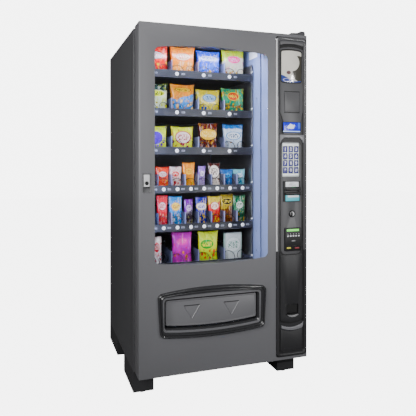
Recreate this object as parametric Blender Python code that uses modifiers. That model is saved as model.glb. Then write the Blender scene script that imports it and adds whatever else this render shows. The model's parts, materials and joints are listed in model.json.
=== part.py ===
"""Glass-front snack vending machine, modelled in metres with its front facing -Y.

Every size and place below is measured from the door's lower left corner on the
floor: X runs right, Y runs back from the door's painted face, Z runs up. One
empty, "layout", carries that corner to its place, so that the machine stands on
Z = 0 with the centre of its footprint on the origin.
"""

import math

import bmesh
import bpy
from mathutils import Matrix, Vector

# --- Overall ---------------------------------------------------------------
WIDTH = 0.905
HEIGHT = 1.829
DEPTH = 0.880
TOUCH = 0.0003
FIT = 0.0006

# --- Door pan --------------------------------------------------------------
DOOR_THICKNESS = 0.100
DOOR_GAP = 0.029
DOOR_BOTTOM = 0.133
DOOR_SHEET = 0.003
DOOR_EDGE_RADIUS = 0.0025
GASKET_INSET = 0.010
GASKET_WIDTH = 0.022
GASKET_CLEARANCE = 0.0015

# --- Window ----------------------------------------------------------------
WINDOW_LEFT = 0.078
WINDOW_RIGHT_MARGIN = 0.229
WINDOW_BOTTOM = 0.677
WINDOW_TOP_MARGIN = 0.119
WINDOW_RISE = 0.020
WINDOW_DROP = 0.016
WINDOW_CORNER = 0.022
GLASS_THICKNESS = 0.006
GLASS_LAP = 0.012
LINER_SHEET = 0.002
LINER_END = 0.002
LAMP_WIDTH = 0.018
LAMP_DEPTH = 0.027
LAMP_END_GAP = 0.040
LAMP_EDGE_RADIUS = 0.004

# --- Cabinet ---------------------------------------------------------------
CABINET_SHEET = 0.003
CABINET_BOTTOM = 0.118
CABINET_TOP_DROP = 0.003
CABINET_FLANGE = 0.030
PARTITION_SHEET = 0.003

# --- Base ------------------------------------------------------------------
LEG_WIDTH = 0.105
FRONT_LEG_LENGTH = 0.258
REAR_LEG_LENGTH = 0.283
LEG_BOTTOM = 0.014
BASE_SHEET = 0.004
FOOT_RADIUS = 0.018
FOOT_THICKNESS = 0.009
FOOT_STUD_RADIUS = 0.005
FOOT_STUD_HEIGHT = 0.050
FOOT_NUT_RADIUS = 0.0085
FOOT_NUT_HEIGHT = 0.004
FOOT_STUD_CLEARANCE = 0.001
FOOT_SETBACK = 0.040

# --- Trays -----------------------------------------------------------------
TRAY_COLUMNS = (4, 4, 4, 8, 8, 4)
TRAY_FRONT = 0.200
TRAY_REAR_GAP = 0.050
TRAY_LEFT_OVERHANG = 0.012
TRAY_RIGHT_OVERHANG = 0.007
TRAY_SIDE_MARGIN = 0.0085
TRAY_SHEET = 0.0025
TRAY_LIP_HEIGHT = 0.040
TRAY_FLOOR_DROP = 0.008
TRAY_SIDE_HEIGHT = 0.030
TRAY_DIVIDER_HEIGHT = 0.085
TRAY_DIVIDER_SETBACK = 0.006
TRAY_TOP_DROP = 0.084
TRAY_LOW_DROP = 0.064
MOTOR_DEPTH = 0.045
MOTOR_HEIGHT = 0.075
LADDER_SHEET = 0.004
LADDER_CLEARANCE = 0.003
LADDER_LEDGE = 0.012
LADDER_LEDGE_SHEET = 0.003
LADDER_POST_DEPTH = 0.030
LADDER_SETBACK = 0.010
LADDER_OVERRUN = 0.030
PARTITION_GAP = 0.0155

# --- Spirals of the top tray -----------------------------------------------
COIL_WIRE_RADIUS = 0.0018
COIL_SIDE_GAP = 0.0065
COIL_FLOOR_GAP = 0.003
COIL_END_GAP = 0.006
COIL_SHAFT_LENGTH = 0.012
COIL_TURNS = 8
COIL_POINTS_PER_TURN = 10

# --- Control panel ---------------------------------------------------------
PANEL_WIDTH = 0.176
PANEL_RIGHT_MARGIN = 0.006
PANEL_END_MARGIN = 0.017
PANEL_PROUD = 0.003
PANEL_RIM = 0.001
PANEL_BEVEL = 0.016
PANEL_RECESS = 0.009
PANEL_FLOOR = 0.004
PANEL_CORNER = 0.014
PANEL_FIT = 0.001
LENS_THICKNESS = 0.006
LENS_RISE = 0.012
LENS_CORNER = 0.008
DISPLAY_PROUD = 0.004
DISPLAY_EDGE_RADIUS = 0.002
KEYPAD_PLATE = 0.002
KEY_COLUMNS = 3
KEY_ROWS = 4
KEY_WIDTH = 0.024
KEY_HEIGHT = 0.030
KEY_GAP_X = 0.0085
KEY_GAP_Z = 0.0065
KEY_PROUD = 0.003
KEY_STEM = 0.006
KEY_CLEARANCE = 0.0006
KEY_EDGE_RADIUS = 0.0012
KEYPAD_MARGIN_X = 0.0045
KEYPAD_MARGIN_Z = 0.01925
KEYPAD_SEAT = 0.0039
VALIDATOR_PROUD = 0.012
VALIDATOR_BODY_DEPTH = 0.085
VALIDATOR_SLOT_HEIGHT = 0.006
VALIDATOR_SLOT_MARGIN = 0.008
VALIDATOR_SLOT_DEPTH = 0.040
BUTTON_RADIUS = 0.0125
BUTTON_PROUD = 0.006
BUTTON_STEM = 0.016
READER_PROUD = 0.010
READER_BODY_DEPTH = 0.040
READER_EDGE_RADIUS = 0.003
CUP_DEPTH = 0.060
CUP_WALL = 0.003
CUP_LIP = 0.009
CUP_FLAP_THICKNESS = 0.002
CUP_FLAP_SETBACK = 0.004
CUP_FLAP_CLEARANCE = 0.0015

KEY_PITCH_X = KEY_WIDTH + KEY_GAP_X
KEY_PITCH_Z = KEY_HEIGHT + KEY_GAP_Z
KEYPAD_WIDTH = KEY_COLUMNS * KEY_PITCH_X - KEY_GAP_X + 2 * KEYPAD_MARGIN_X
KEYPAD_HEIGHT = KEY_ROWS * KEY_PITCH_Z - KEY_GAP_Z + 2 * KEYPAD_MARGIN_Z

# Height, width, gap above and shift from the panel's centre line, top to bottom.
PANEL_STACK = {
    "picture_lens": (0.162, 0.124, 0.070, 0.003),
    "blank_plate": (0.115, 0.092, 0.047, 0.007),
    "display_window": (0.057, 0.107, 0.047, 0.005),
    "keypad_plate": (KEYPAD_HEIGHT, KEYPAD_WIDTH, 0.052, 0.001),
    "bill_validator": (0.107, 0.094, 0.022, 0.005),
    "coin_return_button": (0.034, 0.034, 0.048, 0.009),
    "card_reader": (0.122, 0.099, 0.055, 0.012),
    "coin_cup": (0.054, 0.074, 0.278, 0.012),
}
PANEL_BOTTOM_GAP = 0.214

# --- Delivery bin ----------------------------------------------------------
BIN_FRAME_PROUD = 0.016
BIN_FRAME_INSET = 0.012
BIN_FRAME_LOW = 0.322
BIN_FRAME_HIGH = 0.530
BIN_FRAME_RISE = 0.023
BIN_FRAME_DROP = 0.017
BIN_FRAME_CORNER = 0.022
BIN_FRAME_TAPER = 0.012
THROAT_SIDE = 0.040
THROAT_LOW = 0.360
THROAT_HIGH = 0.497
THROAT_DROP = 0.014
THROAT_CORNER = 0.010
SLEEVE_WALL = 0.004
SLEEVE_DEPTH = 0.035
FLAP_SIDE_GAP = 0.006
FLAP_TOP_GAP = 0.007
FLAP_LOW_GAP = 0.010
FLAP_THICKNESS = 0.004
FLAP_SETBACK = 0.020
BIN_SHEET = 0.003
BIN_FLOOR = 0.300
BIN_TOP = 0.556
BIN_BACK = 0.290
BIN_SIDE_ROOM = 0.010
BAFFLE_PIVOT_Y = 0.085
BAFFLE_PIVOT_Z = 0.545
BAFFLE_LENGTH = 0.075
BAFFLE_SHEET = 0.002
BAFFLE_ROD_RADIUS = 0.004
BAFFLE_SIDE_GAP = 0.002

# --- Lock ------------------------------------------------------------------
LOCK_X = 0.0387
LOCK_Z = 1.062
LOCK_DISH_WIDTH = 0.042
LOCK_DISH_HEIGHT = 0.092
LOCK_DISH_DEPTH = 0.030
LOCK_DISH_WALL = 0.003
LOCK_HANDLE_WIDTH = 0.028
LOCK_HANDLE_HEIGHT = 0.058
LOCK_HANDLE_RISE = 0.012
LOCK_HANDLE_THICKNESS = 0.013
LOCK_HANDLE_PROUD = 0.001
LOCK_HANDLE_EDGE_RADIUS = 0.0015
LOCK_STEM_RADIUS = 0.0065
LOCK_STEM_LENGTH = 0.055
LOCK_STEM_RISE = 0.019
LOCK_CYLINDER_RADIUS = 0.009
LOCK_CYLINDER_DEPTH = 0.010
LOCK_CYLINDER_PROUD = 0.002
LOCK_KEYWAY_WIDTH = 0.0018
LOCK_KEYWAY_HEIGHT = 0.008

# --- Hinges ----------------------------------------------------------------
HINGE_INSET_X = 0.018
HINGE_INSET_Y = 0.012
HINGE_PIN_RADIUS = 0.005
HINGE_HOLE_CLEARANCE = 0.001
HINGE_PIN_REACH = 0.020
HINGE_PLATE = 0.005
HINGE_PLATE_WIDTH = 0.101
HINGE_SIDE_MARGIN = 0.004
HINGE_RUN = 0.050
HINGE_NOSE = 0.018
HINGE_DOOR_CLEARANCE = 0.001
HINGE_HEAD_RADIUS = 0.009
HINGE_HEAD_HEIGHT = 0.010
HINGE_DROP = 0.060

# --- Inner fittings --------------------------------------------------------
CHANGER_WIDTH = 0.075
CHANGER_DEPTH = 0.137
CHANGER_HEIGHT = 0.380
CHANGER_SETBACK = 0.020
CHANGER_LOW = 0.850
CHANGER_EDGE_RADIUS = 0.004
INLET_WIDTH = 0.048
INLET_HEIGHT = 0.058
INLET_DEPTH = 0.030
INLET_RECESS = 0.020
INLET_RIM = 0.006
INLET_FROM_RIGHT = 0.105
INLET_LOW = 0.171

# --- Places worked out from the sizes --------------------------------------
WINDOW_RIGHT = WIDTH - WINDOW_RIGHT_MARGIN
WINDOW_TOP = HEIGHT - WINDOW_TOP_MARGIN
LINER_LEFT = WINDOW_LEFT - GLASS_LAP
LINER_RIGHT = WINDOW_RIGHT + GLASS_LAP
LINER_BOTTOM = WINDOW_BOTTOM - WINDOW_DROP - GLASS_LAP
LINER_TOP = WINDOW_TOP + WINDOW_RISE + GLASS_LAP
GLASS_BACK = DOOR_SHEET + TOUCH + GLASS_THICKNESS
CABINET_FRONT = DOOR_THICKNESS + DOOR_GAP
CABINET_TOP = HEIGHT - CABINET_TOP_DROP
TRAY_LEFT = WINDOW_LEFT - TRAY_LEFT_OVERHANG
TRAY_RIGHT = WINDOW_RIGHT + TRAY_RIGHT_OVERHANG
TRAY_REAR = DEPTH - TRAY_REAR_GAP
TRAY_HIGH = WINDOW_TOP - TRAY_TOP_DROP
TRAY_LOW = WINDOW_BOTTOM - TRAY_LOW_DROP
TRAY_PITCH = (TRAY_HIGH - TRAY_LOW) / (len(TRAY_COLUMNS) - 1)
MOTOR_FRONT = TRAY_REAR - MOTOR_DEPTH
PARTITION_LEFT = TRAY_RIGHT + PARTITION_GAP
PARTITION_RIGHT = PARTITION_LEFT + PARTITION_SHEET
PANEL_RIGHT = WIDTH - PANEL_RIGHT_MARGIN
PANEL_LEFT = PANEL_RIGHT - PANEL_WIDTH
PANEL_CENTRE = (PANEL_LEFT + PANEL_RIGHT) / 2
PANEL_LOW = DOOR_BOTTOM + PANEL_END_MARGIN
PANEL_HIGH = HEIGHT - PANEL_END_MARGIN
PANEL_BACK = PANEL_RECESS + PANEL_FLOOR
BIN_FRAME_LEFT = WINDOW_LEFT + BIN_FRAME_INSET
BIN_FRAME_RIGHT = WINDOW_RIGHT - BIN_FRAME_INSET
THROAT_LEFT = BIN_FRAME_LEFT + THROAT_SIDE
THROAT_RIGHT = BIN_FRAME_RIGHT - THROAT_SIDE
HINGE_X = WIDTH - HINGE_INSET_X
HINGE_Y = DOOR_THICKNESS - HINGE_INSET_Y
FACE_Y = BIN_FRAME_PROUD - (DEPTH + BIN_FRAME_PROUD) / 2

PAINTS = {
    "charcoal_paint": ((0.19, 0.19, 0.20), 0.45, 0.30),
    "cabinet_paint": ((0.09, 0.09, 0.10), 0.50, 0.30),
    "black_moulding": ((0.045, 0.045, 0.05), 0.35, 0.0),
    "clear_glass": ((0.85, 0.92, 0.95), 0.05, 0.0),
    "black_rubber": ((0.02, 0.02, 0.02), 0.80, 0.0),
    "pale_liner": ((0.62, 0.66, 0.78), 0.40, 0.0),
    "tray_paint": ((0.10, 0.10, 0.14), 0.40, 0.20),
    "spring_wire": ((0.30, 0.30, 0.32), 0.30, 0.90),
    "picture_print": ((0.72, 0.72, 0.70), 0.30, 0.0),
    "display_blue": ((0.05, 0.08, 0.55), 0.20, 0.0),
    "silver_plate": ((0.60, 0.62, 0.62), 0.35, 0.60),
    "key_navy": ((0.03, 0.03, 0.25), 0.40, 0.0),
    "bright_steel": ((0.65, 0.65, 0.66), 0.25, 0.95),
    "zinc_steel": ((0.45, 0.45, 0.47), 0.40, 0.90),
    "lamp_white": ((0.90, 0.92, 1.00), 0.30, 0.0),
}


def clear_scene():
    """Removes everything that the scene starts with."""
    for obj in list(bpy.data.objects):
        bpy.data.objects.remove(obj)


def make_collection(name):
    collection = bpy.data.collections.new(name)
    bpy.context.scene.collection.children.link(collection)
    return collection


def make_empty(name, location, parent=None):
    empty = bpy.data.objects.new(name, None)
    PARTS.objects.link(empty)
    empty.location = location
    if parent:
        hang_on(empty, parent)
    return empty


def hang_on(obj, parent):
    """Parents an object whose location is already in the layout's own measures."""
    obj.parent = parent
    if parent is not LAYOUT:
        obj.matrix_parent_inverse = Matrix.Translation(-parent.location)


def material(paint):
    """One Principled material for each piece, from its paint's colour and finish."""
    colour, roughness, metallic = PAINTS[paint]
    made = bpy.data.materials.new(paint)
    made.use_nodes = True
    shader = made.node_tree.nodes["Principled BSDF"]
    shader.inputs["Base Color"].default_value = (*colour, 1.0)
    shader.inputs["Roughness"].default_value = roughness
    shader.inputs["Metallic"].default_value = metallic
    made.diffuse_color = (*colour, 1.0)
    return made


# --- Shapes ----------------------------------------------------------------
def add_box(bm, low, high):
    """Adds a box between two corners."""
    low, high = Vector(low), Vector(high)
    size = high - low
    place = Matrix.Translation((low + high) / 2) @ Matrix.Diagonal((*size, 1.0))
    bmesh.ops.create_cube(bm, size=1.0, matrix=place)


def add_rod(bm, start, end, radius, segments=16):
    """Adds a cylinder from one point to another."""
    start, end = Vector(start), Vector(end)
    turn = (end - start).to_track_quat("Z", "Y").to_matrix().to_4x4()
    place = Matrix.Translation((start + end) / 2) @ turn
    bmesh.ops.create_cone(bm, cap_ends=True, segments=segments, radius1=radius,
                          radius2=radius, depth=(end - start).length, matrix=place)


def rounded_outline(left, right, low, high, radius, rise=0.0, drop=0.0, taper=0.0, steps=4, spans=10):
    """A rectangle in X and Z with round corners. Its top can arch up by rise, its
    bottom can bow down by drop, and its sides can lean in by taper at the bottom."""
    corners = [(right - radius, high - radius, 0), (left + radius, high - radius, 1),
               (left + radius, low + radius, 2), (right - radius, low + radius, 3)]
    points = []
    for cx, cz, quarter in corners:
        for step in range(steps + 1):
            angle = math.pi / 2 * (quarter + step / steps)
            points.append((cx + radius * math.cos(angle), cz + radius * math.sin(angle)))
        bow = {0: rise, 2: drop}.get(quarter, 0.0)
        if bow:
            start = points[-1][0]
            end = left + radius if quarter == 0 else right - radius
            z = high if quarter == 0 else low
            points += [(start + (end - start) * k / spans, z) for k in range(1, spans)]
    centre, half, height = (left + right) / 2, (right - left) / 2, high - low
    outline = []
    for x, z in points:
        share = (x - centre) / half
        lean = taper * (high - z) / height
        arch = (rise if z > (low + high) / 2 else -drop) * (1 - share * share)
        outline.append((x - share * lean, z + arch))
    return outline


def add_plate(bm, outline, front, back, back_shrink=0.0):
    """Adds a plate with the given outline, from Y front to Y back. The back can be
    smaller all round, for a bevelled recess."""
    face = bm.faces.new([bm.verts.new((x, front, z)) for x, z in outline])
    pushed = bmesh.ops.extrude_face_region(bm, geom=[face])["geom"]
    verts = [item for item in pushed if isinstance(item, bmesh.types.BMVert)]
    bmesh.ops.translate(bm, verts=verts, vec=(0.0, back - front, 0.0))
    if back_shrink:
        low = Vector(map(min, *(v.co for v in verts)))
        high = Vector(map(max, *(v.co for v in verts)))
        centre, size = (low + high) / 2, high - low
        for v in verts:
            v.co.x = centre.x + (v.co.x - centre.x) * (1 - 2 * back_shrink / size.x)
            v.co.z = centre.z + (v.co.z - centre.z) * (1 - 2 * back_shrink / size.z)


def finish_object(name, bm, paint, origin, parent, smooth=False):
    """Turns a bmesh into a named part whose origin is at the given point."""
    bmesh.ops.recalc_face_normals(bm, faces=bm.faces)
    bmesh.ops.translate(bm, verts=bm.verts, vec=-Vector(origin))
    mesh = bpy.data.meshes.new(name)
    bm.to_mesh(mesh)
    bm.free()
    obj = bpy.data.objects.new(name, mesh)
    obj.location = origin
    if paint is None:
        CUTTERS.objects.link(obj)
        obj.hide_render = True
        obj.display_type = "WIRE"
    else:
        PARTS.objects.link(obj)
        mesh.materials.append(material(paint))
    hang_on(obj, parent)
    if smooth:
        mesh.shade_smooth()
        mesh.set_sharp_from_angle(angle=math.radians(35))
    return obj


def box_part(name, low, high, paint, parent, origin=None):
    bm = bmesh.new()
    add_box(bm, low, high)
    centre = tuple((a + b) / 2 for a, b in zip(low, high))
    return finish_object(name, bm, paint, origin or centre, parent)


def combine(obj, operation, fill):
    """Cuts from a part, or joins to it, whatever fill(bm) draws."""
    bm = bmesh.new()
    fill(bm)
    helper = finish_object(f"{obj.name}_{operation.lower()}", bm, None, (0.0, 0.0, 0.0), LAYOUT)
    modifier = obj.modifiers.new(operation.title(), "BOOLEAN")
    modifier.operation = operation
    modifier.solver = "EXACT"
    modifier.use_self = operation == "UNION"
    modifier.object = helper


def cut(obj, fill):
    combine(obj, "DIFFERENCE", fill)


def join(obj, fill):
    combine(obj, "UNION", fill)


def round_edges(obj, width, segments=2):
    modifier = obj.modifiers.new("Round edges", "BEVEL")
    modifier.width = width
    modifier.segments = segments
    modifier.limit_method = "ANGLE"


# --- Layout helpers --------------------------------------------------------
def stack_places():
    """Left, right, low and high of each item on the control panel. The gaps take
    up whatever height the items leave."""
    items_height = sum(item[0] for item in PANEL_STACK.values())
    gaps_height = sum(item[2] for item in PANEL_STACK.values()) + PANEL_BOTTOM_GAP
    stretch = (PANEL_HIGH - PANEL_LOW - items_height) / gaps_height
    places = {}
    top = PANEL_HIGH
    for name, (height, width, gap, shift) in PANEL_STACK.items():
        top -= gap * stretch
        middle = PANEL_CENTRE + shift
        places[name] = (middle - width / 2, middle + width / 2, top - height, top)
        top -= height
    return places


def tray_floor(index):
    """Height of a tray's floor, where 0 is the top tray."""
    return TRAY_HIGH - index * TRAY_PITCH - TRAY_FLOOR_DROP


def column_pitch(columns):
    return (TRAY_RIGHT - TRAY_LEFT - 2 * TRAY_SIDE_MARGIN) / columns


def key_centres():
    left, right, low, high = PLACES["keypad_plate"]
    middle_x, middle_z = (left + right) / 2, (low + high) / 2
    for row in range(KEY_ROWS):
        for column in range(KEY_COLUMNS):
            yield (middle_x + (column - (KEY_COLUMNS - 1) / 2) * KEY_PITCH_X,
                   middle_z - (row - (KEY_ROWS - 1) / 2) * KEY_PITCH_Z)


def leg_corners():
    """Left and front of each leg, with its length and the side it stands on."""
    for side, left in (("left", 0.0), ("right", WIDTH - LEG_WIDTH)):
        yield "front_" + side, left, CABINET_FRONT, FRONT_LEG_LENGTH
        yield "rear_" + side, left, DEPTH - REAR_LEG_LENGTH, REAR_LEG_LENGTH


def window_outline():
    return rounded_outline(WINDOW_LEFT, WINDOW_RIGHT, WINDOW_BOTTOM, WINDOW_TOP, WINDOW_CORNER,
                           WINDOW_RISE, WINDOW_DROP)


def bin_frame_outline():
    return rounded_outline(BIN_FRAME_LEFT, BIN_FRAME_RIGHT, BIN_FRAME_LOW, BIN_FRAME_HIGH,
                           BIN_FRAME_CORNER, BIN_FRAME_RISE, BIN_FRAME_DROP, BIN_FRAME_TAPER)


def throat_outline(margin):
    """The bin's mouth, made larger all round by a margin."""
    return rounded_outline(THROAT_LEFT - margin, THROAT_RIGHT + margin, THROAT_LOW - margin,
                           THROAT_HIGH + margin, THROAT_CORNER + margin, 0.0, THROAT_DROP)


# --- Cabinet and base ------------------------------------------------------
def build_cabinet_shell():
    """Welded sheet cabinet: four walls, a back and a flange round the front."""
    shell = box_part("cabinet_shell", (0.0, CABINET_FRONT, CABINET_BOTTOM), (WIDTH, DEPTH, CABINET_TOP),
                     "cabinet_paint", LAYOUT)
    inlet_left = WIDTH - INLET_FROM_RIGHT

    def hollow(bm):
        add_box(bm, (CABINET_SHEET, CABINET_FRONT + CABINET_SHEET, CABINET_BOTTOM + CABINET_SHEET),
                (WIDTH - CABINET_SHEET, DEPTH - CABINET_SHEET, CABINET_TOP - CABINET_SHEET))

    def openings(bm):
        add_box(bm, (CABINET_FLANGE, CABINET_FRONT - CABINET_SHEET, CABINET_BOTTOM + CABINET_FLANGE),
                (WIDTH - CABINET_FLANGE, CABINET_FRONT + 2 * CABINET_SHEET, CABINET_TOP - CABINET_FLANGE))
        add_box(bm, (inlet_left - FIT, DEPTH - 2 * CABINET_SHEET, INLET_LOW - FIT),
                (inlet_left + INLET_WIDTH + FIT, DEPTH + CABINET_SHEET, INLET_LOW + INLET_HEIGHT + FIT))

    cut(shell, hollow)
    cut(shell, openings)


def build_partition():
    """Upright wall between the products and the coin compartment."""
    box_part("compartment_divider",
             (PARTITION_LEFT, CABINET_FRONT + CABINET_SHEET + TOUCH, CABINET_BOTTOM + CABINET_SHEET + TOUCH),
             (PARTITION_RIGHT, DEPTH - CABINET_SHEET - TOUCH, CABINET_TOP - CABINET_SHEET - TOUCH),
             "pale_liner", LAYOUT)


def build_base_frame():
    """A plate under the cabinet with four hollow legs."""
    top = CABINET_BOTTOM - TOUCH
    base = box_part("base_frame", (0.0, CABINET_FRONT, top - BASE_SHEET), (WIDTH, DEPTH, top),
                    "cabinet_paint", LAYOUT)

    def legs(bm):
        for _, left, front, length in leg_corners():
            add_box(bm, (left, front, LEG_BOTTOM), (left + LEG_WIDTH, front + length, top - BASE_SHEET / 2))

    def hollows(bm):
        for _, left, front, length in leg_corners():
            add_box(bm, (left + BASE_SHEET, front + BASE_SHEET, LEG_BOTTOM + BASE_SHEET),
                    (left + LEG_WIDTH - BASE_SHEET, front + length - BASE_SHEET, top - BASE_SHEET))

    def stud_holes(bm):
        for _, x, y in foot_places():
            add_rod(bm, (x, y, 0.0), (x, y, LEG_BOTTOM + 2 * BASE_SHEET), FOOT_STUD_RADIUS + FOOT_STUD_CLEARANCE)

    join(base, legs)
    cut(base, hollows)
    cut(base, stud_holes)


def foot_places():
    for name, left, front, length in leg_corners():
        setback = FOOT_SETBACK if name.startswith("front") else length - FOOT_SETBACK
        yield name, left + LEG_WIDTH / 2, front + setback


def build_feet():
    """Levelling feet: a round pad, a lock nut and a stud, turned about Z."""
    for name, x, y in foot_places():
        bm = bmesh.new()
        add_rod(bm, (x, y, 0.0), (x, y, FOOT_THICKNESS), FOOT_RADIUS, 20)
        foot = finish_object(f"foot_{name}", bm, "black_rubber", (x, y, 0.0), LAYOUT, smooth=True)

        def stud(bm, x=x, y=y):
            base = FOOT_THICKNESS / 2
            add_rod(bm, (x, y, base), (x, y, FOOT_THICKNESS + FOOT_STUD_HEIGHT), FOOT_STUD_RADIUS, 12)
            add_rod(bm, (x, y, base), (x, y, FOOT_THICKNESS + FOOT_NUT_HEIGHT), FOOT_NUT_RADIUS, 6)

        join(foot, stud)


def build_ladders():
    """Side plates with a ledge under each tray, stood off from the wall by posts."""
    front, rear = TRAY_FRONT + LADDER_SETBACK, TRAY_REAR
    low = tray_floor(len(TRAY_COLUMNS) - 1) - LADDER_OVERRUN
    high = tray_floor(0) + TRAY_DIVIDER_HEIGHT
    inner_left = TRAY_LEFT - LADDER_CLEARANCE
    inner_right = TRAY_RIGHT + LADDER_CLEARANCE
    sides = (("left_tray_ladder", inner_left, -1, CABINET_SHEET + TOUCH),
             ("right_tray_ladder", inner_right, 1, PARTITION_LEFT - TOUCH))
    for name, inner, outward, wall in sides:
        outer = inner + outward * LADDER_SHEET
        ledge = inner - outward * (LADDER_CLEARANCE + LADDER_LEDGE)
        ladder = box_part(name, (min(inner, outer), front, low), (max(inner, outer), rear, high),
                          "zinc_steel", LAYOUT)

        def rails(bm, inner=inner, outer=outer, ledge=ledge, wall=wall):
            middle = (inner + outer) / 2
            for index in range(len(TRAY_COLUMNS)):
                top = tray_floor(index) - TRAY_SHEET - TOUCH
                add_box(bm, (min(ledge, middle), front, top - LADDER_LEDGE_SHEET),
                        (max(ledge, middle), rear, top))
            for start in (front + LADDER_SETBACK, rear - LADDER_SETBACK - LADDER_POST_DEPTH):
                add_box(bm, (min(wall, middle), start, low + LADDER_SETBACK),
                        (max(wall, middle), start + LADDER_POST_DEPTH, high - LADDER_SETBACK))

        join(ladder, rails)


def build_top_hinge():
    """Plate on the cabinet's top, reaching over the door, with the pivot pin."""
    under = HEIGHT + HINGE_DOOR_CLEARANCE
    left = WIDTH - HINGE_SIDE_MARGIN - HINGE_PLATE_WIDTH
    right = WIDTH - HINGE_SIDE_MARGIN
    hinge = box_part("top_hinge", (left, HINGE_Y - HINGE_NOSE, under),
                     (right, CABINET_FRONT + HINGE_RUN, under + HINGE_PLATE), "zinc_steel", LAYOUT)

    def fittings(bm):
        add_box(bm, (left, CABINET_FRONT, CABINET_TOP + TOUCH),
                (right, CABINET_FRONT + HINGE_RUN, under + HINGE_PLATE / 2))
        add_rod(bm, (HINGE_X, HINGE_Y, HEIGHT - HINGE_PIN_REACH),
                (HINGE_X, HINGE_Y, under + HINGE_PLATE / 2), HINGE_PIN_RADIUS)
        add_rod(bm, (HINGE_X, HINGE_Y, under + HINGE_PLATE / 2),
                (HINGE_X, HINGE_Y, under + HINGE_PLATE + HINGE_HEAD_HEIGHT), HINGE_HEAD_RADIUS)

    join(hinge, fittings)


def build_bottom_hinge():
    """Bracket on the right front leg that carries the door on its pin."""
    top = DOOR_BOTTOM - HINGE_DOOR_CLEARANCE
    left = WIDTH - HINGE_SIDE_MARGIN - HINGE_PLATE_WIDTH
    right = WIDTH - HINGE_SIDE_MARGIN
    back = CABINET_FRONT - TOUCH
    hinge = box_part("bottom_hinge", (left, HINGE_Y - HINGE_NOSE, top - HINGE_PLATE),
                     (right, back, top), "zinc_steel", LAYOUT)

    def fittings(bm):
        add_box(bm, (left, back - HINGE_PLATE, HINGE_DROP), (right, back, top - HINGE_PLATE / 2))
        add_rod(bm, (HINGE_X, HINGE_Y, top - HINGE_PLATE / 2),
                (HINGE_X, HINGE_Y, DOOR_BOTTOM + HINGE_PIN_REACH), HINGE_PIN_RADIUS)

    join(hinge, fittings)


def build_inner_fittings():
    """Coin changer on the partition and the mains inlet in the back wall."""
    changer_left = PARTITION_RIGHT + TOUCH
    changer_front = CABINET_FRONT + CHANGER_SETBACK
    changer = box_part("coin_changer", (changer_left, changer_front, CHANGER_LOW),
                       (changer_left + CHANGER_WIDTH, changer_front + CHANGER_DEPTH, CHANGER_LOW + CHANGER_HEIGHT),
                       "black_moulding", LAYOUT)
    round_edges(changer, CHANGER_EDGE_RADIUS)
    left, back = WIDTH - INLET_FROM_RIGHT, DEPTH - TOUCH
    inlet = box_part("power_inlet", (left, back - INLET_DEPTH, INLET_LOW),
                     (left + INLET_WIDTH, back, INLET_LOW + INLET_HEIGHT), "black_moulding", LAYOUT)

    def socket(bm):
        add_box(bm, (left + INLET_RIM, back - INLET_RECESS, INLET_LOW + INLET_RIM),
                (left + INLET_WIDTH - INLET_RIM, back + INLET_RIM, INLET_LOW + INLET_HEIGHT - INLET_RIM))

    cut(inlet, socket)


# --- Trays and spirals -----------------------------------------------------
def build_tray(index, columns):
    """Sheet tray with a label lip, column dividers and a cover for its motors."""
    floor = tray_floor(index)
    lip_low = floor + TRAY_FLOOR_DROP - TRAY_LIP_HEIGHT / 2
    tray = box_part(f"tray_{index + 1}", (TRAY_LEFT, TRAY_FRONT, floor - TRAY_SHEET),
                    (TRAY_RIGHT, TRAY_REAR, floor), "tray_paint", LAYOUT)
    pitch = column_pitch(columns)
    under = floor - TRAY_SHEET / 2

    def uprights(bm):
        add_box(bm, (TRAY_LEFT, TRAY_FRONT, lip_low), (TRAY_RIGHT, TRAY_FRONT + TRAY_SHEET, lip_low + TRAY_LIP_HEIGHT))
        for left in (TRAY_LEFT, TRAY_RIGHT - TRAY_SHEET):
            add_box(bm, (left, TRAY_FRONT + TRAY_SHEET / 2, under),
                    (left + TRAY_SHEET, TRAY_REAR, floor + TRAY_SIDE_HEIGHT))
        for divider in range(1, columns):
            left = TRAY_LEFT + TRAY_SIDE_MARGIN + divider * pitch - TRAY_SHEET / 2
            add_box(bm, (left, TRAY_FRONT + TRAY_DIVIDER_SETBACK, under),
                    (left + TRAY_SHEET, TRAY_REAR - MOTOR_DEPTH / 2, floor + TRAY_DIVIDER_HEIGHT))
        cover = floor + MOTOR_HEIGHT
        add_box(bm, (TRAY_LEFT, MOTOR_FRONT, under), (TRAY_RIGHT, MOTOR_FRONT + TRAY_SHEET, cover))
        add_box(bm, (TRAY_LEFT, MOTOR_FRONT, cover - TRAY_SHEET), (TRAY_RIGHT, TRAY_REAR, cover))

    join(tray, uprights)


def coil_points(axis_x, axis_z, radius, turning):
    """Centre line of a spiral: turns along Y, then a spoke in to the motor shaft."""
    front = TRAY_FRONT + TRAY_SHEET + COIL_END_GAP + COIL_WIRE_RADIUS
    shaft_end = MOTOR_FRONT - TOUCH
    rear = shaft_end - COIL_SHAFT_LENGTH
    count = COIL_TURNS * COIL_POINTS_PER_TURN
    points = []
    for step in range(count + 1):
        angle = -math.pi / 2 + turning * 2 * math.pi * step / COIL_POINTS_PER_TURN
        points.append((axis_x + radius * math.cos(angle), front + (rear - front) * step / count,
                       axis_z + radius * math.sin(angle)))
    points += [(axis_x, rear, axis_z), (axis_x, shaft_end, axis_z)]
    return points


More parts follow.
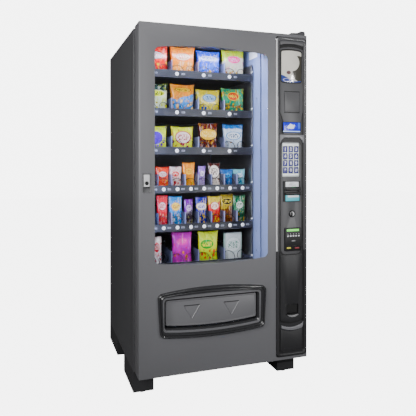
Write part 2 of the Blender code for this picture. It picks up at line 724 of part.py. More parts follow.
def build_coil(name, axis_x, axis_z, radius, turning):
    """One wire spiral, turned about its own axis, which runs along Y."""
    curve = bpy.data.curves.new(name, "CURVE")
    curve.dimensions = "3D"
    curve.bevel_depth = COIL_WIRE_RADIUS
    curve.bevel_resolution = 1
    curve.use_fill_caps = True
    points = coil_points(axis_x, axis_z, radius, turning)
    origin = Vector((axis_x, TRAY_FRONT, axis_z))
    spline = curve.splines.new("POLY")
    spline.points.add(len(points) - 1)
    for target, point in zip(spline.points, points):
        target.co = (*(Vector(point) - origin), 1.0)
    curve.materials.append(material("spring_wire"))
    coil = bpy.data.objects.new(name, curve)
    PARTS.objects.link(coil)
    coil.location = origin
    hang_on(coil, LAYOUT)


def build_top_tray_coils():
    """Two spirals in each column of the top tray, which turn opposite ways."""
    pitch = column_pitch(TRAY_COLUMNS[0])
    radius = (pitch / 2 - 2 * COIL_SIDE_GAP) / 2 - COIL_WIRE_RADIUS
    axis_z = tray_floor(0) + COIL_FLOOR_GAP + COIL_WIRE_RADIUS + radius
    for column in range(TRAY_COLUMNS[0]):
        middle = TRAY_LEFT + TRAY_SIDE_MARGIN + (column + 0.5) * pitch
        for side, turning in (("left", 1), ("right", -1)):
            build_coil(f"coil_{column + 1}_{side}", middle - turning * pitch / 4, axis_z, radius, turning)


# --- Door ------------------------------------------------------------------
def build_door_skin():
    """The door's folded pan, with its openings and the two hinge pin holes."""
    skin = box_part("door_skin", (0.0, 0.0, DOOR_BOTTOM), (WIDTH, DOOR_THICKNESS, HEIGHT),
                    "charcoal_paint", DOOR_PIVOT)
    round_edges(skin, DOOR_EDGE_RADIUS)
    through = 2 * DOOR_SHEET

    def hollow(bm):
        add_box(bm, (DOOR_SHEET, DOOR_SHEET, DOOR_BOTTOM + DOOR_SHEET),
                (WIDTH - DOOR_SHEET, DOOR_THICKNESS + DOOR_SHEET, HEIGHT - DOOR_SHEET))

    def openings(bm):
        add_plate(bm, window_outline(), -through, through)
        add_plate(bm, throat_outline(SLEEVE_WALL + FIT), -through, through)
        add_plate(bm, panel_outline(PANEL_FIT), -through, through)
        add_box(bm, (LOCK_X - LOCK_DISH_WIDTH / 2 - FIT, -through, LOCK_Z - LOCK_DISH_HEIGHT / 2 - FIT),
                (LOCK_X + LOCK_DISH_WIDTH / 2 + FIT, through, LOCK_Z + LOCK_DISH_HEIGHT / 2 + FIT))
        for z in (DOOR_BOTTOM, HEIGHT):
            add_rod(bm, (HINGE_X, HINGE_Y, z - through), (HINGE_X, HINGE_Y, z + through),
                    HINGE_PIN_RADIUS + HINGE_HOLE_CLEARANCE)

    cut(skin, hollow)
    cut(skin, openings)


def build_ring(name, outer, inner, front, back, paint):
    """A flat frame: outer and inner are (left, right, low, high)."""
    ring = box_part(name, (outer[0], front, outer[2]), (outer[1], back, outer[3]), paint, DOOR_PIVOT)
    depth = back - front
    cut(ring, lambda bm: add_box(bm, (inner[0], front - depth, inner[2]), (inner[1], back + depth, inner[3])))


def build_window():
    """Glass pane, the sheet liner behind it and the upright lamp in its left jamb."""
    glass_front = DOOR_SHEET + TOUCH
    box_part("door_glass", (LINER_LEFT, glass_front, LINER_BOTTOM), (LINER_RIGHT, GLASS_BACK, LINER_TOP),
             "clear_glass", DOOR_PIVOT)
    inner = (LINER_LEFT, LINER_RIGHT, LINER_BOTTOM, LINER_TOP)
    outer = (LINER_LEFT - LINER_SHEET, LINER_RIGHT + LINER_SHEET, LINER_BOTTOM - LINER_SHEET, LINER_TOP + LINER_SHEET)
    build_ring("window_liner", outer, inner, GLASS_BACK + TOUCH, DOOR_THICKNESS - LINER_END, "pale_liner")
    lamp_back = DOOR_THICKNESS - LINER_END - TOUCH
    lamp = box_part("lamp_strip", (LINER_LEFT + TOUCH, lamp_back - LAMP_DEPTH, LINER_BOTTOM + LAMP_END_GAP),
                    (LINER_LEFT + TOUCH + LAMP_WIDTH, lamp_back, LINER_TOP - LAMP_END_GAP), "lamp_white", DOOR_PIVOT)
    round_edges(lamp, LAMP_EDGE_RADIUS)
    edge = GASKET_INSET
    rim = edge + GASKET_WIDTH
    build_ring("door_gasket", (edge, WIDTH - edge, DOOR_BOTTOM + edge, HEIGHT - edge),
               (rim, WIDTH - rim, DOOR_BOTTOM + rim, HEIGHT - rim),
               DOOR_THICKNESS + TOUCH, CABINET_FRONT - GASKET_CLEARANCE, "black_rubber")


def panel_outline(margin):
    return rounded_outline(PANEL_LEFT - margin, PANEL_RIGHT + margin, PANEL_LOW - margin, PANEL_HIGH + margin,
                           PANEL_CORNER + margin)


def build_control_panel():
    """Moulded dish the height of the door, with a hole for each insert."""
    bm = bmesh.new()
    add_plate(bm, panel_outline(0.0), -PANEL_PROUD, PANEL_BACK)
    middle = (PANEL_CENTRE, 0.0, (PANEL_LOW + PANEL_HIGH) / 2)
    panel = finish_object("control_panel", bm, "black_moulding", middle, DOOR_PIVOT)

    def recess(bm):
        add_plate(bm, panel_outline(-PANEL_RIM), -2 * PANEL_PROUD, PANEL_RECESS, PANEL_BEVEL)

    def holes(bm):
        front, back = 0.0, 2 * PANEL_BACK
        for name in ("display_window", "bill_validator", "card_reader", "coin_cup"):
            left, right, low, high = PLACES[name]
            add_box(bm, (left - FIT, front, low - FIT), (right + FIT, back, high + FIT))
        add_plate(bm, lens_outline(FIT), front, back)
        left, right, low, high = PLACES["keypad_plate"]
        add_box(bm, (left + KEYPAD_SEAT, front, low + KEYPAD_SEAT), (right - KEYPAD_SEAT, back, high - KEYPAD_SEAT))
        x, z = button_centre()
        add_rod(bm, (x, front, z), (x, back, z), BUTTON_RADIUS + FIT, 24)

    cut(panel, recess)
    cut(panel, holes)


def lens_outline(margin):
    left, right, low, high = PLACES["picture_lens"]
    return rounded_outline(left - margin, right + margin, low - margin, high + margin - LENS_RISE,
                           LENS_CORNER, LENS_RISE)


def button_centre():
    left, right, low, high = PLACES["coin_return_button"]
    return (left + right) / 2, (low + high) / 2


def build_panel_inserts():
    """The fixed pieces in the panel: picture, display, validator and card reader."""
    bm = bmesh.new()
    add_plate(bm, lens_outline(0.0), PANEL_RECESS - TOUCH, PANEL_RECESS - TOUCH + LENS_THICKNESS)
    left, right, low, high = PLACES["picture_lens"]
    middle = ((left + right) / 2, PANEL_RECESS, (low + high) / 2)
    finish_object("picture_lens", bm, "picture_print", middle, DOOR_PIVOT)
    left, right, low, high = PLACES["display_window"]
    display = box_part("display_window", (left, PANEL_RECESS - DISPLAY_PROUD, low), (right, PANEL_BACK, high),
                       "display_blue", DOOR_PIVOT)
    round_edges(display, DISPLAY_EDGE_RADIUS)
    left, right, low, high = PLACES["bill_validator"]
    validator = box_part("bill_validator", (left, PANEL_RECESS - VALIDATOR_PROUD, low),
                         (right, PANEL_RECESS + VALIDATOR_BODY_DEPTH, high), "black_moulding", DOOR_PIVOT)
    middle = (low + high) / 2

    def slot(bm):
        add_box(bm, (left + VALIDATOR_SLOT_MARGIN, -VALIDATOR_PROUD, middle - VALIDATOR_SLOT_HEIGHT / 2),
                (right - VALIDATOR_SLOT_MARGIN, VALIDATOR_SLOT_DEPTH, middle + VALIDATOR_SLOT_HEIGHT / 2))

    cut(validator, slot)
    left, right, low, high = PLACES["card_reader"]
    reader = box_part("card_reader", (left, PANEL_RECESS - READER_PROUD, low),
                      (right, PANEL_RECESS + READER_BODY_DEPTH, high), "black_moulding", DOOR_PIVOT)
    round_edges(reader, READER_EDGE_RADIUS)


def build_keypad():
    """A steel plate with a window for each of the keys, and the keys in it."""
    left, right, low, high = PLACES["keypad_plate"]
    back = PANEL_RECESS - TOUCH
    front = back - KEYPAD_PLATE
    plate = box_part("keypad_plate", (left, front, low), (right, back, high), "silver_plate", DOOR_PIVOT)
    half_x, half_z = KEY_WIDTH / 2 + KEY_CLEARANCE, KEY_HEIGHT / 2 + KEY_CLEARANCE

    def windows(bm):
        for x, z in key_centres():
            add_box(bm, (x - half_x, front - KEYPAD_PLATE, z - half_z), (x + half_x, back + KEYPAD_PLATE, z + half_z))

    cut(plate, windows)
    for number, (x, z) in enumerate(key_centres(), start=1):
        key = box_part(f"key_{number:02d}", (x - KEY_WIDTH / 2, front - KEY_PROUD, z - KEY_HEIGHT / 2),
                       (x + KEY_WIDTH / 2, back + KEY_STEM, z + KEY_HEIGHT / 2), "key_navy", DOOR_PIVOT)
        round_edges(key, KEY_EDGE_RADIUS, 1)


def build_coin_return_button():
    """Round push button with a stem behind it."""
    x, z = button_centre()
    front = PANEL_RECESS - BUTTON_PROUD
    bm = bmesh.new()
    add_rod(bm, (x, front, z), (x, PANEL_RECESS + BUTTON_STEM, z), BUTTON_RADIUS, 24)
    finish_object("coin_return_button", bm, "bright_steel", (x, front, z), DOOR_PIVOT, smooth=True)


def build_coin_cup():
    """Open cup behind the panel, with a lip below it and a flap hung in its mouth."""
    left, right, low, high = PLACES["coin_cup"]
    cup = box_part("coin_cup", (left, PANEL_RECESS - TOUCH, low), (right, CUP_DEPTH, high),
                   "black_moulding", DOOR_PIVOT)

    def lip(bm):
        add_box(bm, (left, PANEL_RECESS - CUP_LIP, low), (right, PANEL_RECESS + CUP_WALL, low + CUP_WALL))

    def pocket(bm):
        add_box(bm, (left + CUP_WALL, 0.0, low + CUP_WALL), (right - CUP_WALL, CUP_DEPTH - CUP_WALL, high - CUP_WALL))

    join(cup, lip)
    cut(cup, pocket)
    inner_left, inner_right = left + CUP_WALL + CUP_FLAP_CLEARANCE, right - CUP_WALL - CUP_FLAP_CLEARANCE
    front = PANEL_RECESS + CUP_FLAP_SETBACK
    top = high - CUP_WALL - CUP_FLAP_CLEARANCE
    axis = (PANEL_CENTRE, front + CUP_FLAP_THICKNESS / 2, top - CUP_FLAP_THICKNESS / 2)
    box_part("coin_cup_flap", (inner_left, front, low + CUP_WALL + CUP_FLAP_CLEARANCE),
             (inner_right, front + CUP_FLAP_THICKNESS, top), "black_moulding", DOOR_PIVOT, origin=axis)


# --- Delivery bin ----------------------------------------------------------
def build_bin_frame():
    """Moulded surround on the door's face, with a sleeve through the skin."""
    bm = bmesh.new()
    add_plate(bm, bin_frame_outline(), -BIN_FRAME_PROUD, -TOUCH)
    middle = ((THROAT_LEFT + THROAT_RIGHT) / 2, 0.0, (THROAT_LOW + THROAT_HIGH) / 2)
    frame = finish_object("bin_frame", bm, "black_moulding", middle, DOOR_PIVOT)
    join(frame, lambda bm: add_plate(bm, throat_outline(SLEEVE_WALL), -BIN_FRAME_PROUD / 2, SLEEVE_DEPTH))
    cut(frame, lambda bm: add_plate(bm, throat_outline(0.0), -2 * BIN_FRAME_PROUD, 2 * SLEEVE_DEPTH))


def build_bin_flap():
    """Push flap, hung on its top edge inside the sleeve."""
    bm = bmesh.new()
    left, right = THROAT_LEFT + FLAP_SIDE_GAP, THROAT_RIGHT - FLAP_SIDE_GAP
    low, high = THROAT_LOW + FLAP_LOW_GAP, THROAT_HIGH - FLAP_TOP_GAP
    outline = rounded_outline(left, right, low, high, THROAT_CORNER / 2, 0.0, THROAT_DROP)
    add_plate(bm, outline, FLAP_SETBACK, FLAP_SETBACK + FLAP_THICKNESS)
    axis = ((left + right) / 2, FLAP_SETBACK + FLAP_THICKNESS / 2, high - FLAP_THICKNESS / 2)
    finish_object("bin_flap", bm, "black_moulding", axis, DOOR_PIVOT)


def build_delivery_bin():
    """Hopper behind the flap that catches what falls past the tray fronts."""
    left, right = THROAT_LEFT - BIN_SIDE_ROOM, THROAT_RIGHT + BIN_SIDE_ROOM
    front = SLEEVE_DEPTH + 2 * FIT
    hopper = box_part("delivery_bin", (left, front, BIN_FLOOR), (right, BIN_BACK, BIN_TOP), "zinc_steel", DOOR_PIVOT)
    front_wall_top = THROAT_LOW - THROAT_DROP - SLEEVE_WALL

    def hollow(bm):
        add_box(bm, (left + BIN_SHEET, front + BIN_SHEET, BIN_FLOOR + BIN_SHEET),
                (right - BIN_SHEET, BIN_BACK - BIN_SHEET, BIN_TOP + BIN_SHEET))

    def mouth(bm):
        add_box(bm, (left + BIN_SHEET, front - BIN_SHEET, front_wall_top),
                (right - BIN_SHEET, front + 2 * BIN_SHEET, BIN_TOP + BIN_SHEET))

    cut(hopper, hollow)
    cut(hopper, mouth)


def build_anti_theft_flap():
    """Baffle that swings back over the hopper as the push flap goes in."""
    left = THROAT_LEFT - BIN_SIDE_ROOM + BIN_SHEET + BAFFLE_SIDE_GAP
    right = THROAT_RIGHT + BIN_SIDE_ROOM - BIN_SHEET - BAFFLE_SIDE_GAP
    axis = ((left + right) / 2, BAFFLE_PIVOT_Y, BAFFLE_PIVOT_Z)
    baffle = box_part("anti_theft_flap", (left, BAFFLE_PIVOT_Y - BAFFLE_SHEET / 2, BAFFLE_PIVOT_Z - BAFFLE_LENGTH),
                      (right, BAFFLE_PIVOT_Y + BAFFLE_SHEET / 2, BAFFLE_PIVOT_Z), "zinc_steel", DOOR_PIVOT,
                      origin=axis)
    join(baffle, lambda bm: add_rod(bm, (left, BAFFLE_PIVOT_Y, BAFFLE_PIVOT_Z), (right, BAFFLE_PIVOT_Y, BAFFLE_PIVOT_Z),
                                    BAFFLE_ROD_RADIUS, 12))


# --- Lock ------------------------------------------------------------------
def build_lock():
    """Recessed dish, the pop-out handle in it and the key cylinder."""
    half_w, half_h = LOCK_DISH_WIDTH / 2, LOCK_DISH_HEIGHT / 2
    dish = box_part("lock_dish", (LOCK_X - half_w, 0.0, LOCK_Z - half_h),
                    (LOCK_X + half_w, LOCK_DISH_DEPTH, LOCK_Z + half_h), "black_moulding", DOOR_PIVOT)
    wall = LOCK_DISH_WALL
    stem_z = LOCK_Z + LOCK_STEM_RISE

    def pocket(bm):
        add_box(bm, (LOCK_X - half_w + wall, -wall, LOCK_Z - half_h + wall),
                (LOCK_X + half_w - wall, LOCK_DISH_DEPTH - wall, LOCK_Z + half_h - wall))

    def stem_hole(bm):
        add_rod(bm, (LOCK_X, LOCK_DISH_DEPTH - 2 * wall, stem_z), (LOCK_X, LOCK_DISH_DEPTH + wall, stem_z),
                LOCK_STEM_RADIUS + FIT)

    cut(dish, pocket)
    cut(dish, stem_hole)
    build_lock_handle(stem_z)


def build_lock_handle(stem_z):
    half_w, half_h = LOCK_HANDLE_WIDTH / 2, LOCK_HANDLE_HEIGHT / 2
    middle = LOCK_Z + LOCK_HANDLE_RISE
    front = -LOCK_HANDLE_PROUD
    back = front + LOCK_HANDLE_THICKNESS
    handle = box_part("lock_handle", (LOCK_X - half_w, front, middle - half_h),
                      (LOCK_X + half_w, back, middle + half_h), "bright_steel", DOOR_PIVOT)
    round_edges(handle, LOCK_HANDLE_EDGE_RADIUS)
    seat_back = front + LOCK_CYLINDER_DEPTH + FIT

    def stem(bm):
        add_rod(bm, (LOCK_X, back - FIT, stem_z), (LOCK_X, back + LOCK_STEM_LENGTH, stem_z), LOCK_STEM_RADIUS)

    def seat(bm):
        add_rod(bm, (LOCK_X, front - FIT - LOCK_CYLINDER_PROUD, LOCK_Z), (LOCK_X, seat_back, LOCK_Z),
                LOCK_CYLINDER_RADIUS + FIT, 20)

    join(handle, stem)
    cut(handle, seat)
    bm = bmesh.new()
    add_rod(bm, (LOCK_X, front - LOCK_CYLINDER_PROUD, LOCK_Z), (LOCK_X, front + LOCK_CYLINDER_DEPTH, LOCK_Z),
            LOCK_CYLINDER_RADIUS, 20)
    cylinder = finish_object("lock_cylinder", bm, "bright_steel", (LOCK_X, front, LOCK_Z), DOOR_PIVOT, smooth=True)

    def keyway(bm):
        half, rise = LOCK_KEYWAY_WIDTH / 2, LOCK_KEYWAY_HEIGHT / 2
        add_box(bm, (LOCK_X - half, front - 2 * LOCK_CYLINDER_PROUD, LOCK_Z - rise),
                (LOCK_X + half, front + LOCK_CYLINDER_DEPTH / 2, LOCK_Z + rise))

    cut(cylinder, keyway)


def build_all():
    """Builds the machine from the floor up and from the cabinet forward."""
    build_cabinet_shell()
    build_partition()
    build_base_frame()
    build_feet()
    build_ladders()
    build_top_hinge()
    build_bottom_hinge()
    build_inner_fittings()
    for index, columns in enumerate(TRAY_COLUMNS):
        build_tray(index, columns)
    build_top_tray_coils()
    build_door_skin()
    build_window()
    build_control_panel()
    build_panel_inserts()
    build_keypad()
    build_coin_return_button()
    build_coin_cup()
    build_bin_frame()
    build_bin_flap()
    build_delivery_bin()
    build_anti_theft_flap()
    build_lock()


clear_scene()
PARTS = make_collection("snack_vending_machine")
CUTTERS = make_collection("cutters")
LAYOUT = make_empty("layout", (-WIDTH / 2, FACE_Y, 0.0))
DOOR_PIVOT = make_empty("door_pivot", (HINGE_X, HINGE_Y, 0.0), LAYOUT)
PLACES = stack_places()
build_all()
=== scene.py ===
"""Looks of a snack vending machine: finishes, rounded sheet work, moulded panel, spirals and packets.

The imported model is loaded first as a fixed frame. Each class below builds one sub-assembly around it,
in metres, and takes its places from the boxes of the frame's nodes.
"""

from __future__ import annotations

import json
import logging
import math
import random
from collections.abc import Sequence
from dataclasses import dataclass
from enum import Enum

import bmesh
import bpy
from mathutils import Matrix, Vector

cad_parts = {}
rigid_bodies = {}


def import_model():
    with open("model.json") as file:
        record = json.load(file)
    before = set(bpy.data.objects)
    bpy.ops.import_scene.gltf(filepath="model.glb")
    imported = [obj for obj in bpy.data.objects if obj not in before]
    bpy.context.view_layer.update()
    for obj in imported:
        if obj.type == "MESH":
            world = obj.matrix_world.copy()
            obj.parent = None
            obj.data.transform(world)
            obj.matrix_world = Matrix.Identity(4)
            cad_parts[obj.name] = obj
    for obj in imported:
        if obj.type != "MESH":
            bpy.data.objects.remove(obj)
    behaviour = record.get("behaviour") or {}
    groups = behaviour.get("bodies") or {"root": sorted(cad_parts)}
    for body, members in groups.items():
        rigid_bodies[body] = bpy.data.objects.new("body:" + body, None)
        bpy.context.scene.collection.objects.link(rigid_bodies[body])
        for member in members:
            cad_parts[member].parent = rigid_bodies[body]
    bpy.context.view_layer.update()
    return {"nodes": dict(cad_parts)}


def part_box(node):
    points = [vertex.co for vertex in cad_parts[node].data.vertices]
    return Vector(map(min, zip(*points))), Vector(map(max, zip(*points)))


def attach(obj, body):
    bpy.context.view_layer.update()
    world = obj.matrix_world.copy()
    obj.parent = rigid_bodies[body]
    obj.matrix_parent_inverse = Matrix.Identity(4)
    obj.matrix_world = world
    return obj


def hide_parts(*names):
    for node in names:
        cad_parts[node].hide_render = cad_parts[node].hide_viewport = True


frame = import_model()

LOG = logging.getLogger("vending_machine")
Point2 = tuple[float, float]
Point3 = tuple[float, float, float]
Rect = tuple[float, float, float, float]
Colour = tuple[float, float, float, float]
Value = float | tuple | bpy.types.NodeSocket
TURN = 2 * math.pi


# --- Places ----------------------------------------------------------------
@dataclass(frozen=True)
class Span:
    """The box that a node of the frame fills at rest."""

    low: Vector
    high: Vector

    @classmethod
    def of(cls, node: str) -> Span:
        """The span of one node."""
        return cls(*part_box(node))

    @property
    def centre(self) -> Vector:
        """The middle of the box."""
        return (self.low + self.high) / 2

    @property
    def size(self) -> Vector:
        """Width, depth and height."""
        return self.high - self.low

    def seen(self, grow: float = 0.0) -> Rect:
        """Left, right, low and high as seen from the front, from the door's left edge and the floor."""
        return (self.low.x - LEFT - grow, self.high.x - LEFT + grow, self.low.z - grow, self.high.z + grow)


DOOR = Span.of("door_skin")
FACE = DOOR.low.y
LEFT = DOOR.low.x


def at(x: float, y: float, z: float) -> Vector:
    """A point given from the door's left edge, from its face backwards, and from the floor.

    Args:
        x: Distance to the right of the door's left edge.
        y: Distance behind the door's face.
        z: Height above the floor.

    Returns:
        The point in the frame's own coordinates.
    """
    return Vector((LEFT + x, FACE + y, z))


def tint(code: str) -> Colour:
    """A colour from a six-digit screen code, as the linear values that shaders take.

    Args:
        code: Red, green and blue in hexadecimal.

    Returns:
        Linear red, green and blue, and an alpha of one.
    """
    parts = (int(code[i : i + 2], 16) / 255 for i in (0, 2, 4))
    return (*(p / 12.92 if p <= 0.04045 else ((p + 0.055) / 1.055) ** 2.4 for p in parts), 1.0)


# --- Shader building -------------------------------------------------------
class Nodes:
    """Adds and joins shader nodes in one node tree."""

    def __init__(self, tree: bpy.types.NodeTree) -> None:
        """Works in the given tree."""
        self.tree = tree

    def feed(self, socket: bpy.types.NodeSocket, value: Value) -> None:
        """Links a socket to another one, or sets its value."""
        if isinstance(value, bpy.types.NodeSocket):
            self.tree.links.new(value, socket)
        else:
            socket.default_value = value

    def add(self, kind: str, inputs: dict[str | int, Value] | None = None,
            **settings: object) -> bpy.types.Node:
        """Adds one node.

        Args:
            kind: The node's type name, without its "ShaderNode" prefix.
            inputs: Values or links for its inputs, by name or number.
            **settings: Its own properties.

        Returns:
            The new node.
        """
        node = self.tree.nodes.new("ShaderNode" + kind)
        for name, value in settings.items():
            setattr(node, name, value)
        for name, value in (inputs or {}).items():
            self.feed(node.inputs[name], value)
        return node

    def math(self, operation: str, *values: Value) -> bpy.types.NodeSocket:
        """The result of a Math node."""
        return self.add("Math", dict(enumerate(values)), operation=operation).outputs[0]

    def mix(self, share: Value, first: Value, second: Value, blend: str = "MIX") -> bpy.types.NodeSocket:
        """The colour of a Mix node.

        Args:
            share: How much of the second colour shows.
            first: The colour underneath.
            second: The colour on top.
            blend: The node's blend type.

        Returns:
            The mixed colour.
        """
        node = self.add("Mix", data_type="RGBA", blend_type=blend)
        for number, value in ((0, share), (6, first), (7, second)):
            self.feed(node.inputs[number], value)
        return node.outputs[2]

    def above(self, value: Value, edge: Value, softness: float = 0.01) -> bpy.types.NodeSocket:
        """A mask of one where a value is above an edge and zero below it.

        Args:
            value: The value that is tested.
            edge: Where the change starts.
            softness: How wide the change is.

        Returns:
            The mask.
        """
        risen = self.math("DIVIDE", self.math("SUBTRACT", value, edge), softness)
        return self.add("MapRange", {"Value": risen}, interpolation_type="SMOOTHSTEP").outputs[0]

    def both(self, first: Value, second: Value) -> bpy.types.NodeSocket:
        """Where two masks overlap."""
        return self.math("MULTIPLY", first, second)

    def away(self, value: Value, middle: Value) -> bpy.types.NodeSocket:
        """How far a value is from a middle."""
        return self.math("ABSOLUTE", self.math("SUBTRACT", value, middle))

    def round(self, x: Value, z: Value, middle: tuple[Value, Value],
              reach: tuple[Value, Value]) -> bpy.types.NodeSocket:
        """Distance from a middle, as a share of an ellipse's two half axes."""
        across = self.math("DIVIDE", self.math("SUBTRACT", x, middle[0]), reach[0])
        along = self.math("DIVIDE", self.math("SUBTRACT", z, middle[1]), reach[1])
        squares = self.math("ADD", self.both(across, across), self.both(along, along))
        return self.math("SQRT", squares)

    def noise(self, where: Value, scale: Value, detail: float = 2.0,
              stretch: tuple | None = None) -> bpy.types.NodeSocket:
        """The value of a Noise Texture, with its coordinates stretched where that is asked for."""
        if stretch:
            where = self.add("Mapping", {"Vector": where, "Scale": stretch}).outputs[0]
        return self.add("TexNoise", {"Vector": where, "Scale": scale, "Detail": detail}).outputs[0]

    def place(self) -> bpy.types.NodeSocket:
        """Object coordinates."""
        return self.add("TexCoord").outputs["Object"]

    def use(self, effect: Effect, inputs: dict[str, Value]) -> bpy.types.Node:
        """Places an effect in this tree.

        Args:
            effect: The group to place.
            inputs: Values or links for its inputs.

        Returns:
            The group's node.
        """
        node = self.add("Group")
        node.node_tree = effect.tree
        for label, value in inputs.items():
            self.feed(node.inputs[label], value)
        return node


class Effect:
    """A shader node group with named inputs and outputs, built once and used in many materials."""

    def __init__(self, name: str, inputs: dict[str, Value], outputs: dict[str, str]) -> None:
        """Makes the group's sockets.

        Args:
            name: The group's name.
            inputs: Each input's name and default, whose kind follows from the default.
            outputs: Each output's name, and "Color" or "Float".
        """
        self.tree = bpy.data.node_groups.new(name, "ShaderNodeTree")
        for label, value in inputs.items():
            kind = "NodeSocketColor" if isinstance(value, tuple) else "NodeSocketFloat"
            self.tree.interface.new_socket(label, in_out="INPUT", socket_type=kind).default_value = value
        for label, kind in outputs.items():
            self.tree.interface.new_socket(label, in_out="OUTPUT", socket_type="NodeSocket" + kind)
        self.nodes = Nodes(self.tree)
        self.given = self.tree.nodes.new("NodeGroupInput").outputs
        self.result = self.tree.nodes.new("NodeGroupOutput").inputs

    def put(self, label: str, socket: bpy.types.NodeSocket) -> None:
        """Sends a socket out of the group."""
        self.tree.links.new(socket, self.result[label])


